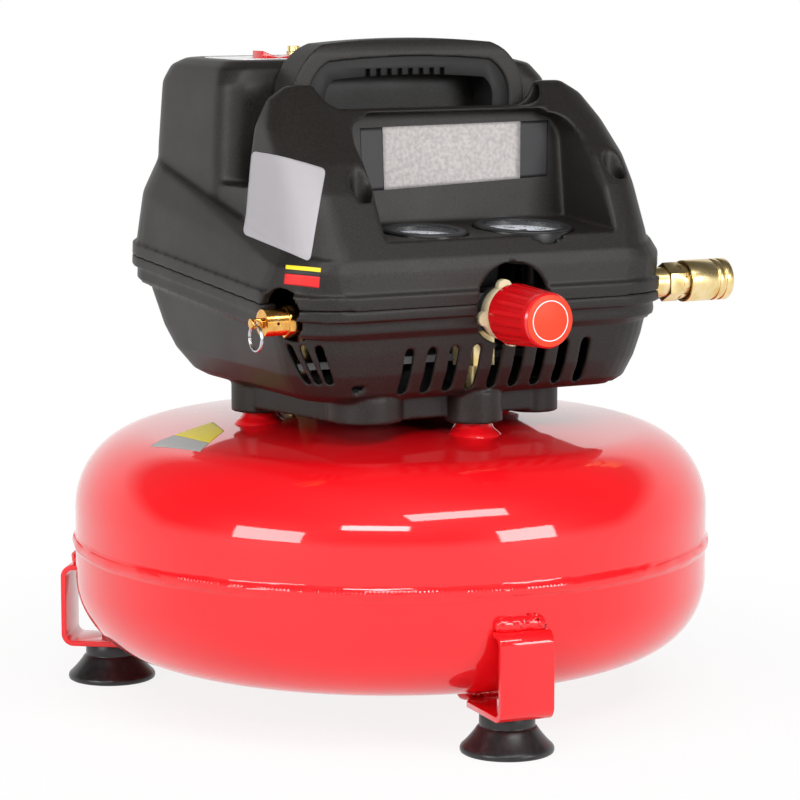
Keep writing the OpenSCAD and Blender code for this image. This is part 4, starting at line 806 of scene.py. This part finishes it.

# %% [markdown]
# ## Gauge dials
#
# A pressure gauge has a printed scale over three quarters of a turn. Geometry Nodes repeat one
# tick along an arc, so the number of ticks and their length stay open to change; the numbers
# are plain text made into meshes.

# %% Ticks along an arc
ticks, ticks_in, ticks_out = group_with_sockets("dial ticks", [
    ("Radius", "NodeSocketFloat", 0.02), ("Count", "NodeSocketInt", 31),
    ("Tick Size", "NodeSocketVector", (0.002, 0.0004, 0.0001)),
    ("Material", "NodeSocketMaterial", None)])
n = ticks.nodes
arc = n.new("GeometryNodeCurveArc")
arc.mode = "RADIUS"
arc.inputs["Start Angle"].default_value = math.radians(-45)
arc.inputs["Sweep Angle"].default_value = math.radians(270)
tick = n.new("GeometryNodeMeshCube")
spread = n.new("GeometryNodeInstanceOnPoints")
where = n.new("GeometryNodeInputPosition")
outward = n.new("FunctionNodeAlignRotationToVector")
outward.axis = "X"
real = n.new("GeometryNodeRealizeInstances")
paint = n.new("GeometryNodeSetMaterial")
to_points = n.new("GeometryNodeCurveToPoints")
to_points.mode = "EVALUATED"
wire(ticks,
     (ticks_in, "Count", arc, "Resolution"), (ticks_in, "Radius", arc, "Radius"),
     (ticks_in, "Tick Size", tick, "Size"), (arc, "Curve", to_points, "Curve"),
     (to_points, "Points", spread, "Points"), (tick, "Mesh", spread, "Instance"),
     (where, "Position", outward, "Vector"), (outward, "Rotation", spread, "Rotation"),
     (spread, "Instances", real, "Geometry"), (real, "Geometry", paint, "Geometry"),
     (ticks_in, "Material", paint, "Material"), (paint, "Geometry", ticks_out, "Geometry"))
print("tick tree nodes:", len(n))

# %% Helpers for the dials
DIAL_TILT = math.radians(4.3)
DIAL_Y, DIAL_Z = -0.0820, 0.2603


def on_dial(x):
    """The place of a dial's centre, x millimetres to the right of the middle."""
    return Matrix.Translation((x * MM, DIAL_Y, DIAL_Z)) @ Matrix.Rotation(DIAL_TILT, 4, "X")


def laid(obj, place, material):
    obj.data.transform(place)
    dress(obj, material)
    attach(obj, BODY)


def number(text, size, at, place, name):
    """A number as flat letters with a very small height, centred on a point of the dial."""
    curve = bpy.data.curves.new(name, "FONT")
    curve.body, curve.size = text, size
    curve.align_x, curve.align_y = "CENTER", "CENTER"
    curve.extrude = 0.00004
    letter = bpy.data.objects.new(name, curve)
    bpy.context.scene.collection.objects.link(letter)
    flat = bpy.data.meshes.new_from_object(
        letter.evaluated_get(bpy.context.evaluated_depsgraph_get()))
    bpy.data.objects.remove(letter)
    flat.transform(Matrix.Translation((at[0], at[1], 0.00008)))
    laid(add_object(name, flat), place, ink)


def bezel(name, x, inner, outer):
    ring = [(inner, 3.2), (inner + 0.4, 3.9), (inner + 1.4, 4.3), (outer - 1.2, 4.3),
            (outer - 0.3, 3.9), (outer, 3.2)]
    laid(turned(name, [(r * MM, z * MM) for r, z in ring], 96, None, 40), on_dial(x),
         plain_black)


print("dial helpers ready")

# %% Two printed dials
bezel("tank_bezel", 36, 21.0, 25.9)
bezel("outlet_bezel", -24, 17.0, 21.9)
# Place, rim radius, top of the scale and step between numbers of each dial.
dials = {"tank_dial": (36, 21.6, 200, 50), "outlet_dial": (-24, 17.6, 160, 40)}
SCALE_START, SCALE_SWEEP, NUMBER_INSET, NUMBER_SIZE = 225, 270, 6.6, 0.0046
for title, (x, rim, top, step) in dials.items():
    place = on_dial(x)
    long_ticks = grown(title + "_long_ticks", ticks, {
        "Radius": (rim - 1.8) * MM, "Count": top // step * 2 + 1,
        "Tick Size": (0.0030, 0.0006, 0.00012)}, ink)
    laid(long_ticks, place, ink)
    short_ticks = grown(title + "_short_ticks", ticks, {
        "Radius": (rim - 1.1) * MM, "Count": top // step * 10 + 1,
        "Tick Size": (0.0015, 0.0003, 0.00012)}, ink)
    laid(short_ticks, place, ink)
    for value in range(0, top + 1, step):
        angle = math.radians(SCALE_START - SCALE_SWEEP * value / top)
        reach = (rim - NUMBER_INSET) * MM
        number(str(value), NUMBER_SIZE, (reach * math.cos(angle), reach * math.sin(angle)),
               place, "%s_%d" % (title, value))
print("dials:", len(dials))

# %% [markdown]
# ## Solids that keep their shape
#
# Pipes, screws, castings, the motor and the pump sit inside or underneath, and their solids
# are fine enough. They only need the right finish in their material slots. A copy with softened
# edges would cost faces that nobody sees.

# %% Finishes for the solids that stay
kept = {
    "foot_screws": steel, "isolator_mounts": foot_rubber, "outlet_riser": brass,
    "drain_valve_body": brass, "drain_screw": brass, "check_valve": brass,
    "pressure_switch": plain_black, "manifold_body": dark_alloy, "regulator_spring": steel,
    "regulator_stem": steel, "coupler_balls": steel, "motor_stator": core_steel,
    "motor_rotor": core_steel, "motor_shaft": steel, "shaft_bearings": steel,
    "cooling_fan": plain_black, "crankcase": cast_alloy, "eccentric": core_steel,
    "connecting_rod": cast_alloy, "piston_seal": plain_black, "cylinder": cast_alloy,
    "cylinder_head": cast_alloy, "intake_filter": plain_black, "discharge_tube": copper,
    "large_gauge_dial": dial_face, "small_gauge_dial": dial_face,
    "large_gauge_needle": ink, "small_gauge_needle": ink,
    "large_gauge_lens": clear_lens, "small_gauge_lens": clear_lens}
for node, material in kept.items():
    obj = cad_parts[node]
    for slot in obj.material_slots:
        slot.material = material
print("solids kept:", len(kept))

# %% [markdown]
# ## Labels
#
# A sticker follows the surface it is stuck to. A grid is stretched between its four corners,
# and each point is dropped onto the housing along one direction and lifted by the film's
# thickness. Every label is left plain.

# %% A grid dropped onto a surface
DROP_FROM, FILM = 0.04, 0.1


def rounded(s, t, width, height, radius):
    """The point (s, t) of a unit square, drawn in where it lies outside a rounded corner."""
    x, y = (s - 0.5) * width, (t - 0.5) * height
    cx, cy = width / 2 - radius, height / 2 - radius
    dx, dy = max(abs(x) - cx, 0), max(abs(y) - cy, 0)
    far_out = math.hypot(dx, dy)
    if dx and dy and far_out > radius:
        x = math.copysign(cx + dx * radius / far_out, x)
        y = math.copysign(cy + dy * radius / far_out, y)
    return x / width + 0.5, y / height + 0.5


def label(name, target, corners, along, material, rounding=0.0, steps=(24, 16), lift=0.12,
          part=(0, 1, 0, 1)):
    """corners run top left, top right, bottom right, bottom left, in millimetres. part is the
    share of the sheet that is made: from left to right, and from top to bottom."""
    bm = bmesh.new()
    bm.from_mesh(target.data)
    tree = bvhtree.BVHTree.FromBMesh(bm)
    bm.free()
    tl, tr, br, bl = [Vector(c) * MM for c in corners]
    width, height = (tr - tl).length, (bl - tl).length
    way = Vector(along).normalized()
    sheet = bmesh.new()
    grid = []
    for j in range(steps[1] + 1):
        row = []
        for i in range(steps[0] + 1):
            s = part[0] + (part[1] - part[0]) * i / steps[0]
            t = part[2] + (part[3] - part[2]) * j / steps[1]
            if rounding:
                s, t = rounded(s, t, width, height, rounding * MM)
            p = (tl * (1 - s) + tr * s) * (1 - t) + (bl * (1 - s) + br * s) * t
            hit, normal, _, _ = tree.ray_cast(p - way * DROP_FROM, way)
            if hit is None:
                hit, normal = p, -way
            row.append(sheet.verts.new(hit + normal * lift * MM))
        grid.append(row)
    for a, b in zip(grid, grid[1:]):
        for i in range(steps[0]):
            sheet.faces.new((a[i], b[i], b[i + 1], a[i + 1]))
    obj = from_bmesh(name, sheet)
    thick = obj.modifiers.new("film", "SOLIDIFY")
    thick.thickness = FILM * MM
    thick.offset = -1
    settle(obj)
    smooth_faces(obj)
    dress(obj, material)
    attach(obj, BODY)


print("label helper ready")

# %% Plates on the shroud
FORWARD, VIEW_WAY = (0, 1, 0), (0.475, 0.869, -0.139)
recess_quad = [(-31.0, -47.8, 316.2), (71.9, -47.6, 317.4), (68.9, -51.9, 287.2),
               (-32.4, -52.4, 283.2)]
for name, material, left, right in (("recess_plate_left", ink, -0.13, 0),
                                    ("recess_plate", silver_film, 0, 0.83),
                                    ("recess_plate_end", ink, 0.83, 1)):
    label(name, upper, recess_quad, FORWARD, material, part=(left, right, 0, 1))
rating_quad = [(-103.8, -39.5, 305.3), (-84.1, -85.5, 297.9), (-102.9, -103.9, 252.5),
               (-112.7, -46.4, 262.7)]
label("rating_plate", upper, rating_quad, VIEW_WAY, label_grey, rounding=3, steps=(64, 48),
      lift=0.2)
print("plates on the shroud: 4 pieces")

# %% Small tags
tag_quad = [(-111.8, -94.5, 250.6), (-98.8, -108.1, 249.6), (-100.0, -108.1, 239.5),
            (-113.0, -94.4, 240.9)]
for name, material, top, bottom, rows in (("valve_tag_edge", yellow_print, 0, 0.22, 4),
                                          ("valve_tag_band", ink, 0.22, 0.45, 4),
                                          ("valve_tag", red_print, 0.45, 1, 6)):
    label(name, upper, tag_quad, VIEW_WAY, material, part=(0, 1, top, bottom), steps=(16, rows))
DOWN = (0, 0, -1)
tank_quad = [(-93.4, 33.0, 152.1), (-101.8, 1.2, 151.9), (-134.2, -37.2, 148.1),
             (-145.6, 1.2, 146.4)]
label("tank_tag", upper_tank, tank_quad, DOWN, yellow_print, part=(0, 1, 0, 0.62))
label("tank_tag_foot", upper_tank, tank_quad, DOWN, grey_print, part=(0, 1, 0.62, 1))
print("tags: 5 pieces")
